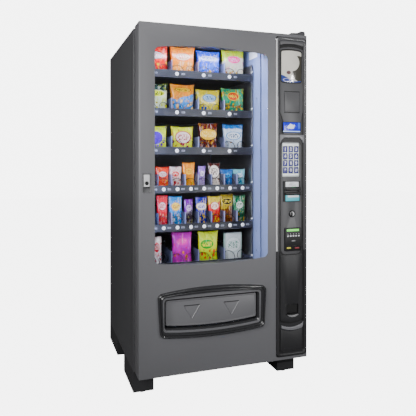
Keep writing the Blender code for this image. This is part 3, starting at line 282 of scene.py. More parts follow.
class Effects:
    """The shader effects that several finishes share."""

    def __init__(self) -> None:
        """Builds each group once."""
        self.grain = self._grain()
        self.drift = self._drift()
        self.scuffs = self._scuffs()
        self.dust = self._dust()
        # The packet print also carries painted highlights and painted shade.
        self.print = self._print_with_painted_light()

    def _grain(self) -> Effect:
        """Fine orange peel or moulded grain, as a height."""
        made = Effect("Surface grain", {"Scale": 900.0, "Coarse": 0.3}, {"Height": "Float"})
        nodes, where = made.nodes, made.nodes.place()
        fine = nodes.noise(where, made.given["Scale"])
        wide = nodes.noise(where, nodes.math("MULTIPLY", made.given["Scale"], 0.12))
        swell = nodes.math("MULTIPLY", wide, made.given["Coarse"])
        made.put("Height", nodes.math("ADD", fine, swell))
        return made

    def _drift(self) -> Effect:
        """Slow change of tone over a surface, with a mask that roughness can follow."""
        inputs = {"Color": tint("808080"), "Spread": 0.1, "Scale": 3.0}
        made = Effect("Tone drift", inputs, {"Color": "Color", "Mask": "Float"})
        nodes = made.nodes
        cloud = nodes.noise(nodes.place(), made.given["Scale"], 4.0)
        swing = nodes.math("MULTIPLY", nodes.math("SUBTRACT", cloud, 0.5), made.given["Spread"])
        grey = nodes.add("CombineColor", dict.fromkeys(range(3), nodes.math("ADD", 1.0, swing))).outputs[0]
        made.put("Color", nodes.mix(1.0, made.given["Color"], grey, "MULTIPLY"))
        made.put("Mask", cloud)
        return made

    def _scuffs(self) -> Effect:
        """Short fine scratches, as a mask."""
        made = Effect("Fine scuffs", {"Scale": 30.0, "Amount": 0.5}, {"Mask": "Float"})
        nodes, where = made.nodes, made.nodes.place()
        flat = nodes.noise(where, made.given["Scale"], 3.0, (1.0, 1.0, 14.0))
        upright = nodes.noise(where, made.given["Scale"], 3.0, (11.0, 11.0, 1.0))
        lines = nodes.math("MAXIMUM", nodes.above(flat, 0.70, 0.03), nodes.above(upright, 0.72, 0.03))
        patches = nodes.above(nodes.noise(where, 5.0), 0.52, 0.12)
        made.put("Mask", nodes.both(nodes.both(lines, patches), made.given["Amount"]))
        return made

    def _dust(self) -> Effect:
        """Thin dust on whatever faces up, as a mask."""
        made = Effect("Settled dust", {"Amount": 0.3}, {"Mask": "Float"})
        nodes = made.nodes
        normal = nodes.add("NewGeometry").outputs["Normal"]
        up = nodes.add("SeparateXYZ", {0: normal}).outputs[2]
        cloud = nodes.math("MULTIPLY_ADD", nodes.noise(nodes.place(), 22.0, 4.0), 0.8, 0.3)
        made.put("Mask", nodes.both(nodes.both(nodes.above(up, 0.4, 0.5), cloud), made.given["Amount"]))
        return made

    def _print_with_painted_light(self) -> Effect:
        """Generic printed film: two grounds, a round badge with strokes in it, and pictured snacks; pale
        streaks are painted in as glints, and both sides are painted darker as shade.
        """
        made = Effect("Packet print with painted light", {
            "Ground": tint("d03030"), "Lower": tint("f0d040"), "Badge": tint("ffffff"),
            "Rim": tint("2030a0"), "Ink": tint("202020"), "Snack": tint("e8b050"),
            "Split": 0.45, "Tilt": 0.2, "Badge X": 0.5, "Badge Z": 0.66, "Badge Width": 0.3,
            "Badge Height": 0.13, "Snack Top": 0.38, "Snack Scale": 6.0, "Busy": 0.6, "Seed": 0.0,
        }, {"Color": "Color", "Crimp": "Float"})
        nodes, given = made.nodes, made.given
        sheet = nodes.add("TexCoord").outputs["UV"]
        across, up = nodes.add("SeparateXYZ", {0: sheet}).outputs[:2]
        flat = nodes.add("CombineXYZ", {0: across, 1: up, 2: given["Seed"]}).outputs[0]
        wave = nodes.math("MULTIPLY", nodes.math("SUBTRACT", nodes.noise(flat, 2.6), 0.5), 0.35)
        lean = nodes.math("MULTIPLY_ADD", nodes.math("SUBTRACT", across, 0.5), given["Tilt"], wave)
        edge = nodes.math("ADD", given["Split"], lean)
        colour = nodes.mix(nodes.above(up, edge), given["Lower"], given["Ground"])
        splashes = ((5.5, 0.57, "Badge", 0.75), (8.0, 0.60, "Rim", 0.85), (11.0, 0.62, "Snack", 0.9))
        for scale, level, shade, share in splashes:
            splash = nodes.above(nodes.noise(flat, scale, 2.0, (1.5, 0.8, 1.0)), level, 0.02)
            splash = nodes.math("MULTIPLY", nodes.both(splash, given["Busy"]), share)
            colour = nodes.mix(splash, colour, given[shade])
        middle = (given["Badge X"], given["Badge Z"])
        cells = nodes.add("TexVoronoi", {"Vector": flat, "Scale": given["Snack Scale"], "Randomness": 0.85})
        low = nodes.both(nodes.above(given["Snack Top"], nodes.math("ADD", up, wave)), nodes.above(up, 0.07))
        toast = nodes.mix(nodes.above(cells.outputs["Distance"], 0.28, 0.12), given["Snack"],
                          nodes.mix(1.0, given["Snack"], tint("b07840"), "MULTIPLY"))
        colour = nodes.mix(nodes.both(low, nodes.above(0.42, cells.outputs["Distance"], 0.02)), colour, toast)
        reach = (given["Badge Width"], given["Badge Height"])
        ring = nodes.round(across, up, middle, reach)
        colour = nodes.mix(nodes.above(1.14, ring, 0.03), colour, given["Rim"])
        colour = nodes.mix(nodes.above(1.0, ring, 0.03), colour, given["Badge"])
        strokes = nodes.noise(flat, 17.0, 1.0, (1.6, 0.7, 1.0))
        line = nodes.above(nodes.math("MULTIPLY", reach[1], 0.55), nodes.away(up, middle[1]))
        inside = nodes.both(nodes.above(0.82, ring, 0.03), line)
        colour = nodes.mix(nodes.both(inside, nodes.above(strokes, 0.50, 0.03)), colour, given["Ink"])
        seal = nodes.above(nodes.away(up, 0.5), 0.455)
        colour = nodes.mix(nodes.math("MULTIPLY", seal, 0.35), colour, given["Ground"])
        # Painted highlight: pale streaks mixed into the print as glints on the film.
        painted_glint = nodes.above(nodes.noise(flat, 3.4, 3.0, (2.6, 0.8, 1.0)), 0.60, 0.04)
        colour = nodes.mix(nodes.math("MULTIPLY", painted_glint, 0.28), colour, (1.0, 1.0, 1.0, 1.0))
        # Painted shade: the print darkens towards the left and right sides, as the shading of a puffed
        # packet.
        side = nodes.above(nodes.away(across, 0.5), 0.38, 0.12)
        colour = nodes.mix(nodes.math("MULTIPLY", side, 0.45), colour, given["Ink"], "MULTIPLY")
        ribs = nodes.math("SINE", nodes.math("MULTIPLY", up, 420.0))
        made.put("Color", colour)
        made.put("Crimp", nodes.both(seal, ribs))
        return made


# --- Finishes --------------------------------------------------------------
@dataclass(frozen=True)
class Finish:
    """A painted, moulded or plated surface with grain, slow tone changes, scuffs and dust.

    Where a depth span is given, the colour is painted dark between those two distances behind the door's
    face, as shade deeper inside the cabinet.
    """

    name: str
    slot: str
    shade: str
    roughness: float
    metallic: float = 0.0
    grain: float = 900.0
    relief: float = 0.04
    spread: float = 0.10
    scuffs: float = 0.15
    dust: float = 0.0
    coat: float = 0.0
    worn: str = "b0b0b0"
    painted_shade_depth: Point2 | None = None

    def material(self, effects: Effects) -> bpy.types.Material:
        """Builds the finish's material.

        Args:
            effects: The shared groups.

        Returns:
            The material.
        """
        made, nodes, shader = fresh_material(self.name)
        drift = nodes.use(effects.drift, {"Color": tint(self.shade), "Spread": self.spread})
        scuffs = nodes.use(effects.scuffs, {"Amount": self.scuffs}).outputs[0]
        colour = nodes.mix(scuffs, drift.outputs["Color"], tint(self.worn))
        rough = nodes.math("MULTIPLY_ADD", drift.outputs["Mask"], 0.12, self.roughness - 0.06)
        # Painted shade: behind the given depth the colour darkens to a dark blue-grey.
        if self.painted_shade_depth:
            depth = nodes.add("SeparateXYZ", {0: nodes.place()}).outputs[1]
            inner = nodes.above(depth, FACE + self.painted_shade_depth[0], self.painted_shade_depth[1] - self.painted_shade_depth[0])
            colour = nodes.mix(nodes.math("MULTIPLY", inner, 0.9), colour, tint("2c2f3d"))
        if self.dust:
            settled = nodes.use(effects.dust, {"Amount": self.dust}).outputs[0]
            colour = nodes.mix(settled, colour, tint("a8a49c"))
            rough = nodes.math("MULTIPLY_ADD", settled, 0.4, rough)
        nodes.feed(shader.inputs["Base Color"], colour)
        nodes.feed(shader.inputs["Roughness"], nodes.math("MULTIPLY_ADD", scuffs, 0.2, rough))
        shader.inputs["Metallic"].default_value = self.metallic
        shader.inputs["Coat Weight"].default_value = self.coat
        shader.inputs["Coat Roughness"].default_value = 0.12
        height = nodes.use(effects.grain, {"Scale": self.grain}).outputs[0]
        bump = nodes.add("Bump", {"Height": height, "Strength": self.relief, "Distance": 0.001})
        nodes.feed(shader.inputs["Normal"], bump.outputs[0])
        return made


@dataclass(frozen=True)
class Brushed:
    """Plated or bare metal with fine lines along one direction."""

    name: str
    slot: str
    shade: str
    roughness: float
    stretch: Point3

    def material(self, effects: Effects) -> bpy.types.Material:
        """Builds the finish's material.

        Args:
            effects: The shared groups.

        Returns:
            The material.
        """
        made, nodes, shader = fresh_material(self.name)
        lines = nodes.noise(nodes.place(), 60.0, 4.0, self.stretch)
        drift = nodes.use(effects.drift, {"Color": tint(self.shade), "Spread": 0.16, "Scale": 12.0})
        colour = nodes.mix(nodes.math("MULTIPLY", lines, 0.25), drift.outputs["Color"], tint("202022"))
        nodes.feed(shader.inputs["Base Color"], colour)
        nodes.feed(shader.inputs["Roughness"], nodes.math("MULTIPLY_ADD", lines, 0.3, self.roughness - 0.12))
        shader.inputs["Metallic"].default_value = 1.0
        bump = nodes.add("Bump", {"Height": lines, "Strength": 0.06, "Distance": 0.0005})
        nodes.feed(shader.inputs["Normal"], bump.outputs[0])
        return made


@dataclass(frozen=True)
class Pane:
    """Clear glass that lets lamps through."""

    name: str = "window glass"
    slot: str = "clear_glass"

    def material(self, effects: Effects) -> bpy.types.Material:
        """Builds the glass material.

        Args:
            effects: The shared groups.

        Returns:
            The material.
        """
        made, nodes, shader = fresh_material(self.name)
        shader.inputs["Base Color"].default_value = (1.0, 1.0, 1.0, 1.0)
        shader.inputs["Transmission Weight"].default_value = 1.0
        shader.inputs["IOR"].default_value = 1.45
        shader.inputs["Roughness"].default_value = 0.0
        clear = nodes.add("BsdfTransparent", {0: (0.96, 0.97, 0.98, 1.0)})
        shadow = nodes.add("LightPath").outputs["Is Shadow Ray"]
        mixed = nodes.add("MixShader", {0: shadow, 1: shader.outputs[0], 2: clear.outputs[0]})
        output = next(n for n in nodes.tree.nodes if n.type == "OUTPUT_MATERIAL")
        nodes.feed(output.inputs["Surface"], mixed.outputs[0])
        return made


@dataclass(frozen=True)
class Glow:
    """A lit surface: a lamp's diffuser or an indicator."""

    name: str
    slot: str
    shade: str
    strength: float

    def material(self, effects: Effects) -> bpy.types.Material:
        """Builds the lit material.

        Args:
            effects: The shared groups.

        Returns:
            The material.
        """
        made, nodes, shader = fresh_material(self.name)
        drift = nodes.use(effects.drift, {"Color": tint(self.shade), "Spread": 0.2, "Scale": 8.0})
        nodes.feed(shader.inputs["Base Color"], drift.outputs["Color"])
        nodes.feed(shader.inputs["Emission Color"], drift.outputs["Color"])
        shader.inputs["Emission Strength"].default_value = self.strength
        shader.inputs["Roughness"].default_value = 0.35
        return made


def fresh_material(name: str) -> tuple[bpy.types.Material, Nodes, bpy.types.Node]:
    """A new material.

    Args:
        name: Its name.

    Returns:
        The material, a builder for its tree, and its Principled shader.
    """
    made = bpy.data.materials.new(name)
    made.use_nodes = True
    return made, Nodes(made.node_tree), made.node_tree.nodes["Principled BSDF"]


@dataclass(frozen=True)
class Picture:
    """An abstract printed card behind clear plastic: a pale ground, a dark sweep and a blue wave."""

    name: str
    slot: str
    middle: Point2

    def material(self, effects: Effects) -> bpy.types.Material:
        """Builds the print.

        Args:
            effects: The shared groups.

        Returns:
            The material.
        """
        made, nodes, shader = fresh_material(self.name)
        where = nodes.place()
        x, _, z = nodes.add("SeparateXYZ", {0: where}).outputs
        left, up = self.middle
        drift = nodes.use(effects.drift, {"Color": tint("dedbd0"), "Spread": 0.25, "Scale": 14.0})
        ripple = nodes.math("MULTIPLY", nodes.math("SUBTRACT", nodes.noise(where, 24.0), 0.5), 0.5)
        outer = nodes.math("ADD", nodes.round(x, z, (left + 0.052, up - 0.012), (0.046, 0.074)), ripple)
        inner = nodes.round(x, z, (left + 0.004, up + 0.022), (0.042, 0.044))
        sweep = nodes.both(nodes.above(1.0, outer, 0.06), nodes.above(inner, 1.0, 0.08))
        colour = nodes.mix(sweep, drift.outputs["Color"], tint("45433c"))
        spot = nodes.math("ADD", nodes.round(x, z, (left - 0.014, up - 0.032), (0.014, 0.011)), ripple)
        colour = nodes.mix(nodes.above(1.0, spot, 0.2), colour, tint("6a5050"))
        swell = nodes.math("MULTIPLY", nodes.math("SINE", nodes.math("MULTIPLY", x, 46.0)), 0.006)
        slope = nodes.math("MULTIPLY_ADD", nodes.math("SUBTRACT", x, left), -0.22, up - 0.062)
        wave = nodes.math("ADD", slope, swell)
        colour = nodes.mix(nodes.above(wave, z, 0.004), colour, tint("3a4a90"))
        curl = nodes.round(x, z, (left - 0.026, up - 0.071), (0.024, 0.009))
        ring = nodes.both(nodes.above(1.0, curl, 0.15), nodes.above(curl, 0.62, 0.15))
        nodes.feed(shader.inputs["Base Color"], nodes.mix(ring, colour, tint("b9b4e6")))
        nodes.feed(shader.inputs["Roughness"], nodes.math("MULTIPLY_ADD", drift.outputs["Mask"], 0.1, 0.12))
        shader.inputs["Coat Weight"].default_value = 0.6
        return made


@dataclass(frozen=True)
class Screen:
    """A lit blue display with a pale round mark and a pale bar along its foot."""

    name: str
    slot: str
    middle: Point2

    def material(self, effects: Effects) -> bpy.types.Material:
        """Builds the lit screen.

        Args:
            effects: The shared groups.

        Returns:
            The material.
        """
        made, nodes, shader = fresh_material(self.name)
        where = nodes.place()
        x, _, z = nodes.add("SeparateXYZ", {0: where}).outputs
        left, up = self.middle
        blue = nodes.mix(nodes.noise(where, 60.0), tint("1206ac"), tint("2438dc"))
        spread = nodes.math("MULTIPLY", nodes.math("SUBTRACT", nodes.noise(where, 150.0), 0.5), 1.3)
        disc = nodes.math("ADD", nodes.round(x, z, (left - 0.004, up + 0.004), (0.026, 0.015)), spread)
        colour = nodes.mix(nodes.above(1.0, disc, 0.3), blue, tint("e8ecff"))
        bar = nodes.above(nodes.away(z, up - 0.021), 0.0022, 0.001)
        colour = nodes.mix(bar, tint("bfe0ff"), colour)
        rim = nodes.both(nodes.above(x, left + 0.034, 0.006), nodes.above(z, up - 0.012, 0.01))
        colour = nodes.mix(nodes.math("MULTIPLY", rim, 0.35), colour, tint("5f9cff"))
        nodes.feed(shader.inputs["Base Color"], colour)
        nodes.feed(shader.inputs["Emission Color"], colour)
        shader.inputs["Emission Strength"].default_value = 0.30
        shader.inputs["Roughness"].default_value = 0.2
        return made


@dataclass(frozen=True)
class Film:
    """Printed packet film: its colours, and where its badge and its pictured snacks sit."""

    name: str
    ground: str
    lower: str
    badge: str
    rim: str
    ink: str
    snack: str = "e8b050"
    split: float = 0.45
    tilt: float = 0.2
    middle: Point2 = (0.5, 0.66)
    reach: Point2 = (0.3, 0.13)
    snacks: float = 0.38
    busy: float = 0.6
    gloss: float = 0.26
    slot: str = "picture_print"

    def material(self, effects: Effects) -> bpy.types.Material:
        """Builds the printed film, with crimped seals; its colour also carries the print's painted glints and
        painted side shade.

        Args:
            effects: The shared groups.

        Returns:
            The material.
        """
        made, nodes, shader = fresh_material(self.name)
        shades = {"Ground": self.ground, "Lower": self.lower, "Badge": self.badge, "Rim": self.rim,
                  "Ink": self.ink, "Snack": self.snack}
        printed = nodes.use(effects.print, {label: tint(code) for label, code in shades.items()} | {
            "Split": self.split, "Tilt": self.tilt, "Badge X": self.middle[0], "Badge Z": self.middle[1],
            "Badge Width": self.reach[0], "Badge Height": self.reach[1], "Snack Top": self.snacks,
            "Busy": self.busy, "Seed": float(sum(map(ord, self.name)) % 97),
        })
        crease = nodes.noise(nodes.place(), 42.0, 4.0, (1.0, 1.0, 0.7))
        vivid = nodes.add("HueSaturation",
                          {"Saturation": 1.80, "Value": 0.74, "Color": printed.outputs["Color"]})
        nodes.feed(shader.inputs["Base Color"], vivid.outputs[0])
        nodes.feed(shader.inputs["Roughness"], nodes.math("MULTIPLY_ADD", crease, 0.2, self.gloss - 0.1))
        shader.inputs["Coat Weight"].default_value = 0.6
        shader.inputs["Coat Roughness"].default_value = 0.14
        height = nodes.math("MULTIPLY_ADD", printed.outputs["Crimp"], 0.3, crease)
        bump = nodes.add("Bump", {"Height": height, "Strength": 0.75, "Distance": 0.003})
        nodes.feed(shader.inputs["Normal"], bump.outputs[0])
        return made


Dress = Finish | Brushed | Pane | Glow | Picture | Screen | Film


class Store:
    """Makes each finish's material when it is first asked for, and keeps it."""

    def __init__(self) -> None:
        """Starts with the shared effects and no materials."""
        self.effects = Effects()
        self.made: dict[Dress, bpy.types.Material] = {}

    def material(self, finish: Dress) -> bpy.types.Material:
        """The material of a finish."""
        if finish not in self.made:
            self.made[finish] = finish.material(self.effects)
        return self.made[finish]


STORE = Store()


def moulded(name: str, shade: str, roughness: float, **rest: float) -> Finish:
    """A black or grey moulding."""
    return Finish(name, "black_moulding", shade, roughness, **rest)


def inked(name: str, shade: str, roughness: float = 0.45, relief: float = 0.02,
          spread: float = 0.10) -> Finish:
    """Printed paper or film in one colour."""
    return Finish(name, "picture_print", shade, roughness, grain=2600.0, relief=relief, spread=spread,
                  scuffs=0.0)


DOOR_PAINT = Finish("door paint", "charcoal_paint", "67676a", 0.40, relief=0.05, spread=0.06, scuffs=0.02)
CABINET_PAINT = Finish("cabinet paint", "cabinet_paint", "49494c", 0.38, relief=0.06, dust=0.06, scuffs=0.10)
# The window liner's dark part, painted as shade.
LINER_SHADE = Finish("liner painted shade", "cabinet_paint", "1c1c1f", 0.50, relief=0.04, dust=0.08)
MOULDING = moulded("panel moulding", "525254", 0.24, grain=1400.0, relief=0.08, spread=0.08, scuffs=0.0)
PLATE = moulded("panel plate", "535355", 0.44, grain=1600.0, relief=0.10, spread=0.08)
# Also the panel's floor, painted dark as shade in the grooves.
GLOSSY_AND_SHADE = moulded("lower panel plate and painted groove shade", "262628", 0.50, grain=1200.0, relief=0.03)
# Also painted shadow: the panel's groove sheets, the knob's left half and the upper edges of the flap's
# triangles.
DARK_AND_SHADE = moulded("dark moulding and painted shade", "0f0f10", 0.48, grain=1400.0, relief=0.05)
BIN = moulded("bin moulding", "2c2c2e", 0.22, grain=1200.0, relief=0.03, coat=0.6)
FLAP = moulded("flap moulding", "68686b", 0.38, grain=1200.0, relief=0.05, spread=0.06)
BASE = moulded("base paint", "323234", 0.42, relief=0.06, dust=0.15)
DISH = moulded("lock dish", "707072", 0.34, grain=1800.0, relief=0.03)
# Also the painted highlight on the control panel's ledge.
LIGHT_TRIM_AND_HIGHLIGHT = moulded("light moulding and painted highlight", "7c7c80", 0.30, grain=1400.0, relief=0.05, spread=0.08)
RUBBER = Finish("black rubber", "black_rubber", "121213", 0.62, grain=700.0, relief=0.10, dust=0.15)
LINER = Finish("pale liner", "pale_liner", "68759c", 0.36, relief=0.03, spread=0.14, scuffs=0.12,
               worn="e6eaf4")
# The dividers' colour is painted dark behind their front edges, as shade inside the cabinet.
SHADED_DIVIDER = Finish("divider paint with painted shade", "tray_paint", "767ba0", 0.40, relief=0.03, spread=0.12, scuffs=0.20,
                 painted_shade_depth=(0.216, 0.226))
TRAY = Finish("tray paint", "tray_paint", "191a21", 0.42, relief=0.04, spread=0.10, scuffs=0.20,
              worn="73748a")
PAPER = inked("white paper", "f4f5fa", 0.50, 0.03, 0.04)
INKED = inked("dark ink", "2a2c33", 0.55)
TEAL = inked("teal label", "46c8da", spread=0.12)
ARROW = inked("green arrows", "38a860")
AMBER = inked("yellow print", "d8cf3c")
ROSE = inked("red print", "8e2f36")
TAG = inked("grey tags", "7c8090", 0.55, 0.03)
SILVER = Finish("keypad plate", "silver_plate", "b9bfbf", 0.34, 0.35, grain=2200.0, relief=0.03, spread=0.08)
LEGEND = Finish("key legend", "silver_plate", "eef0ff", 0.40, grain=2600.0, relief=0.0, scuffs=0.0)
# Also the painted highlight on the right edges of the flap's triangles.
PALE_AND_HIGHLIGHT = Finish("pale moulding and painted highlight", "silver_plate", "8a8a8c", 0.30, grain=1200.0, relief=0.03, spread=0.10)
# A painted highlight along the left side of the control panel's rim.
RIM_HIGHLIGHT = Finish("painted rim highlight", "silver_plate", "cfcfd1", 0.30, grain=1400.0, relief=0.03, spread=0.08)
NAVY = Finish("navy keys", "key_navy", "23237a", 0.32, grain=2000.0, relief=0.03, spread=0.10, coat=0.2)
LATCH = Finish("lock handle", "bright_steel", "cfcfd1", 0.34, grain=1800.0, relief=0.03, spread=0.06)
ZINC = Brushed("zinc steel", "zinc_steel", "8c8c90", 0.38, (1.0, 30.0, 1.0))
WIRE = Finish("spring wire", "spring_wire", "131316", 0.40, 0.3, grain=2200.0, relief=0.02, scuffs=0.25,
              worn="55555c")
LAMP = Glow("lamp diffuser", "lamp_white", "cfdcff", 2.0)
LED = Glow("green light", "display_blue", "6fe85a", 1.0)
GLASS = Pane()


# --- Mesh building ---------------------------------------------------------
def bowed(span: Rect, corner: float, rise: float = 0.0, drop: float = 0.0,
          taper: float = 0.0, steps: int = 6, bays: int = 14) -> list[Point2]:
    """A rectangle with round corners, whose top can arch up and whose bottom can bow down.

    Args:
        span: Left, right, low and high.
        corner: Radius of the corners.
        rise: How far the middle of the top stands above its ends.
        drop: How far the middle of the bottom hangs below its ends.
        taper: How much each side leans in at the bottom.
        steps: Straight pieces in each corner.
        bays: Straight pieces along the top and along the bottom.

    Returns:
        The outline's points, X and Z.
    """
    left, right, low, high = span
    middles = ((right - corner, high - corner), (left + corner, high - corner),
               (left + corner, low + corner), (right - corner, low + corner))
    points: list[Point2] = []
    for quarter, (x, z) in enumerate(middles):
        for step in range(steps + 1):
            angle = TURN / 4 * (quarter + step / steps)
            points.append((x + corner * math.cos(angle), z + corner * math.sin(angle)))
        if quarter in (0, 2):
            start, end = points[-1][0], left + right - points[-1][0]
            level = high if quarter == 0 else low
            points += [(start + (end - start) * bay / bays, level) for bay in range(1, bays)]
    outline = []
    for x, z in points:
        share = (2 * x - left - right) / (right - left)
        arch = (rise if z > (low + high) / 2 else -drop) * (1 - share * share)
        outline.append((x - share * taper * (high - z) / (high - low), z + arch))
    return outline


def swept(start: Point2, end: Point2, sag: float, steps: int = 12) -> list[Point2]:
    """Points along a shallow curve that hangs by a sag below the straight line between two ends."""
    points = []
    for step in range(steps + 1):
        share = step / steps
        drop = 4 * sag * share * (1 - share)
        points.append((start[0] + (end[0] - start[0]) * share, start[1] + (end[1] - start[1]) * share - drop))
    return points


def circle(x: float, z: float, radius: float, sides: int = 32) -> list[Point2]:
    """A round outline, counter-clockwise from its right-hand side."""
    angles = [TURN * side / sides for side in range(sides)]
    return [(x + radius * math.cos(angle), z + radius * math.sin(angle)) for angle in angles]


class Shape:
    """A mesh that grows from bmesh operators and becomes one finished piece."""

    def __init__(self) -> None:
        """Starts empty."""
        self.bm = bmesh.new()
        self.layer = 0

    def absorb(self, part: bmesh.types.BMesh, place: Matrix | None = None, outward: bool = True) -> Shape:
        """Takes in a part and paints it with the current layer's finish.

        Args:
            part: The part, which is freed.
            place: Where it goes.
            outward: Whether its faces are turned outwards first.

        Returns:
            This shape.
        """
        if outward:
            bmesh.ops.recalc_face_normals(part, faces=part.faces[:])
        for face in part.faces:
            face.material_index = self.layer
            face.smooth = True
        if place:
            bmesh.ops.transform(part, matrix=place, verts=part.verts[:])
        carrier = bpy.data.meshes.new("carrier")
        part.to_mesh(carrier)
        part.free()
        self.bm.from_mesh(carrier)
        bpy.data.meshes.remove(carrier)
        return self

    def paint(self, layer: int) -> Shape:
        """Sets which finish the next parts take."""
        self.layer = layer
        return self

    def box(self, low: Vector, high: Vector, edge: float = 0.0, steps: int = 2) -> Shape:
        """A block with rounded edges.

        Args:
            low: Its lowest corner.
            high: Its highest corner.
            edge: Radius of its edges.
            steps: Faces across each edge.

        Returns:
            This shape.
        """
        bm = bmesh.new()
        size = high - low
        place = Matrix.Translation((low + high) / 2) @ Matrix.Diagonal((*size, 1.0))
        bmesh.ops.create_cube(bm, size=1.0, matrix=place)
        if edge:
            round_off(bm, bm.edges[:], min(edge, 0.45 * min(size)), steps)
        return self.absorb(bm)

    def slab(self, seen: Rect, front: float, back: float, edge: float = 0.0, steps: int = 2) -> Shape:
        """A block with rounded edges, given as it is seen from the front.

        Args:
            seen: Left, right, low and high, from the door's left edge and the floor.
            front: Its front's distance behind the door's face.
            back: Its back's distance behind the door's face.
            edge: Radius of its edges.
            steps: Faces across each edge.

        Returns:
            This shape.
        """
        left, right, low, high = seen
        return self.box(at(left, front, low), at(right, back, high), edge, steps)

    def rod(self, start: Vector, end: Vector, radius: float, tip: float | None = None,
            sides: int = 24, edge: float = 0.0) -> Shape:
        """A round bar or cone between two points.

        Args:
            start: Middle of its first end.
            end: Middle of its other end.
            radius: Radius at its first end.
            tip: Radius at its other end, where that differs.
            sides: Faces round it.
            edge: Radius of its end edges.

        Returns:
            This shape.
        """
        bm = bmesh.new()
        along = end - start
        turn = Vector((0, 0, 1)).rotation_difference(along).to_matrix().to_4x4()
        bmesh.ops.create_cone(bm, cap_ends=True, segments=sides, radius1=radius,
                              radius2=radius if tip is None else tip, depth=along.length,
                              matrix=Matrix.Translation((start + end) / 2) @ turn)
        if edge:
            rims = [e for e in bm.edges if e.calc_face_angle(0.0) > 1.0]
            round_off(bm, rims, edge, 2)
        return self.absorb(bm)

    def turned(self, profile: Sequence[Point2], centre: Vector, sides: int = 32) -> Shape:
        """A shape turned about a line that runs towards the customer.

        Args:
            profile: Radius and distance in front of the centre, from one end to the other.
            centre: The point where the line starts.
            sides: Faces round it.

        Returns:
            This shape.
        """
        bm = bmesh.new()
        verts = [bm.verts.new((radius, -front, 0.0)) for radius, front in profile]
        edges = [bm.edges.new(pair) for pair in zip(verts, verts[1:])]
        bmesh.ops.spin(bm, geom=verts + edges, cent=(0, 0, 0), axis=(0, 1, 0), angle=TURN, steps=sides,
                       use_merge=True)
        bmesh.ops.remove_doubles(bm, verts=bm.verts[:], dist=1e-6)
        return self.absorb(bm, Matrix.Translation(centre))

    def loft(self, rings: Sequence[Sequence[Vector]], capped: tuple[bool, bool] = (False, True)) -> Shape:
        """A skin over a row of rings with equally many points.

        Args:
            rings: Each ring's points.
            capped: Whether the first and the last ring are closed.

        Returns:
            This shape.
        """
        bm = bmesh.new()
        loops = []
        for ring in rings:
            verts = [bm.verts.new(point) for point in ring]
            loops.append([bm.edges.new(pair) for pair in zip(verts, verts[1:] + verts[:1])])
        for near, far in zip(loops, loops[1:]):
            bmesh.ops.bridge_loops(bm, edges=near + far)
        for loop, closed in ((loops[0], capped[0]), (loops[-1], capped[1])):
            if closed:
                bmesh.ops.contextual_create(bm, geom=loop)
        return self.absorb(bm)

    def plate(self, outline: Sequence[Point2], front: float, back: float,
              holes: Sequence[Sequence[Point2]] = (),
              edge: float = 0.0) -> Shape:
        """A flat plate that faces the customer, with holes and a rounded front edge.

        Args:
            outline: Its outline, X and Z from the door's left edge and the floor.
            front: Its front's distance behind the door's face.
            back: Its back's distance behind the door's face.
            holes: Outlines cut out of it.
            edge: Radius of its front edges.

        Returns:
            This shape.
        """
        bm = bmesh.new()
        for ring in (outline, *holes):
            verts = [bm.verts.new(at(x, front, z)) for x, z in ring]
            for pair in zip(verts, verts[1:] + verts[:1]):
                bm.edges.new(pair)
        if holes:
            bmesh.ops.triangle_fill(bm, edges=bm.edges[:], use_beauty=True, use_dissolve=False,
                                    normal=(0, -1, 0))
        else:
            bmesh.ops.contextual_create(bm, geom=bm.edges[:])
        drawn = bmesh.ops.extrude_face_region(bm, geom=bm.faces[:], use_keep_orig=True)
        moved = [item for item in drawn["geom"] if isinstance(item, bmesh.types.BMVert)]
        bmesh.ops.translate(bm, vec=(0, back - front, 0), verts=moved)
        bmesh.ops.recalc_face_normals(bm, faces=bm.faces[:])
        if edge:
            level = FACE + front
            rims = [e for e in bm.edges if e.calc_face_angle(0.0) > 1.0
                    and all(abs(v.co.y - level) < 1e-6 for v in e.verts)]
            round_off(bm, rims, edge, 2)
        return self.absorb(bm)

    def spiral(self, axis: Vector, rear: float, radius: float, wire: float, turns: int, hand: int,
               steps: int = 18, sides: int = 6) -> Shape:
        """A wire spiral that starts at its bottom and runs backwards.

        Args:
            axis: The front end of its axis.
            rear: Where the wire ends along the axis.
            radius: Radius of the wire's centre line.
            wire: Radius of the wire.
            turns: How many turns it has.
            hand: 1 where it turns towards the right as it leaves its bottom, else -1.
            steps: Straight pieces in each turn.
            sides: Faces round the wire.

        Returns:
            This shape.
        """
        bm = bmesh.new()
        bottom = axis - Vector((0, 0, radius))
        across = Matrix.Rotation(TURN / 4, 4, "Y")
        bmesh.ops.create_circle(bm, cap_ends=False, segments=sides, radius=wire,
                                matrix=Matrix.Translation(bottom) @ across)
        count = turns * steps
        bmesh.ops.spin(bm, geom=bm.verts[:] + bm.edges[:], cent=axis, axis=(0, -hand, 0), angle=turns * TURN,
                       dvec=(0, (rear - axis.y) / count, 0), steps=count)
        bmesh.ops.holes_fill(bm, edges=[e for e in bm.edges if e.is_boundary], sides=0)
        return self.absorb(bm)

    def glyph(self, text: str, middle: Vector, height: float, depth: float = 0.0004) -> Shape:
        """A number or sign that faces the customer.

        Args:
            text: What it reads.
            middle: Its middle, on the surface it stands on.
            height: Height of its letters.
            depth: How far it stands out.

        Returns:
            This shape.
        """
        curve = bpy.data.curves.new("glyph", "FONT")
        curve.body, curve.size, curve.extrude = text, height / 0.7, depth
        curve.align_x, curve.align_y, curve.resolution_u = "CENTER", "CENTER", 2
        carrier = bpy.data.objects.new("glyph", curve)
        mesh = bpy.data.meshes.new_from_object(carrier)
        bm = bmesh.new()
        bm.from_mesh(mesh)
        for thing, store in ((carrier, bpy.data.objects), (curve, bpy.data.curves), (mesh, bpy.data.meshes)):
            store.remove(thing)
        return self.absorb(bm, Matrix.Translation(middle) @ Matrix.Rotation(TURN / 4, 4, "X"), outward=False)

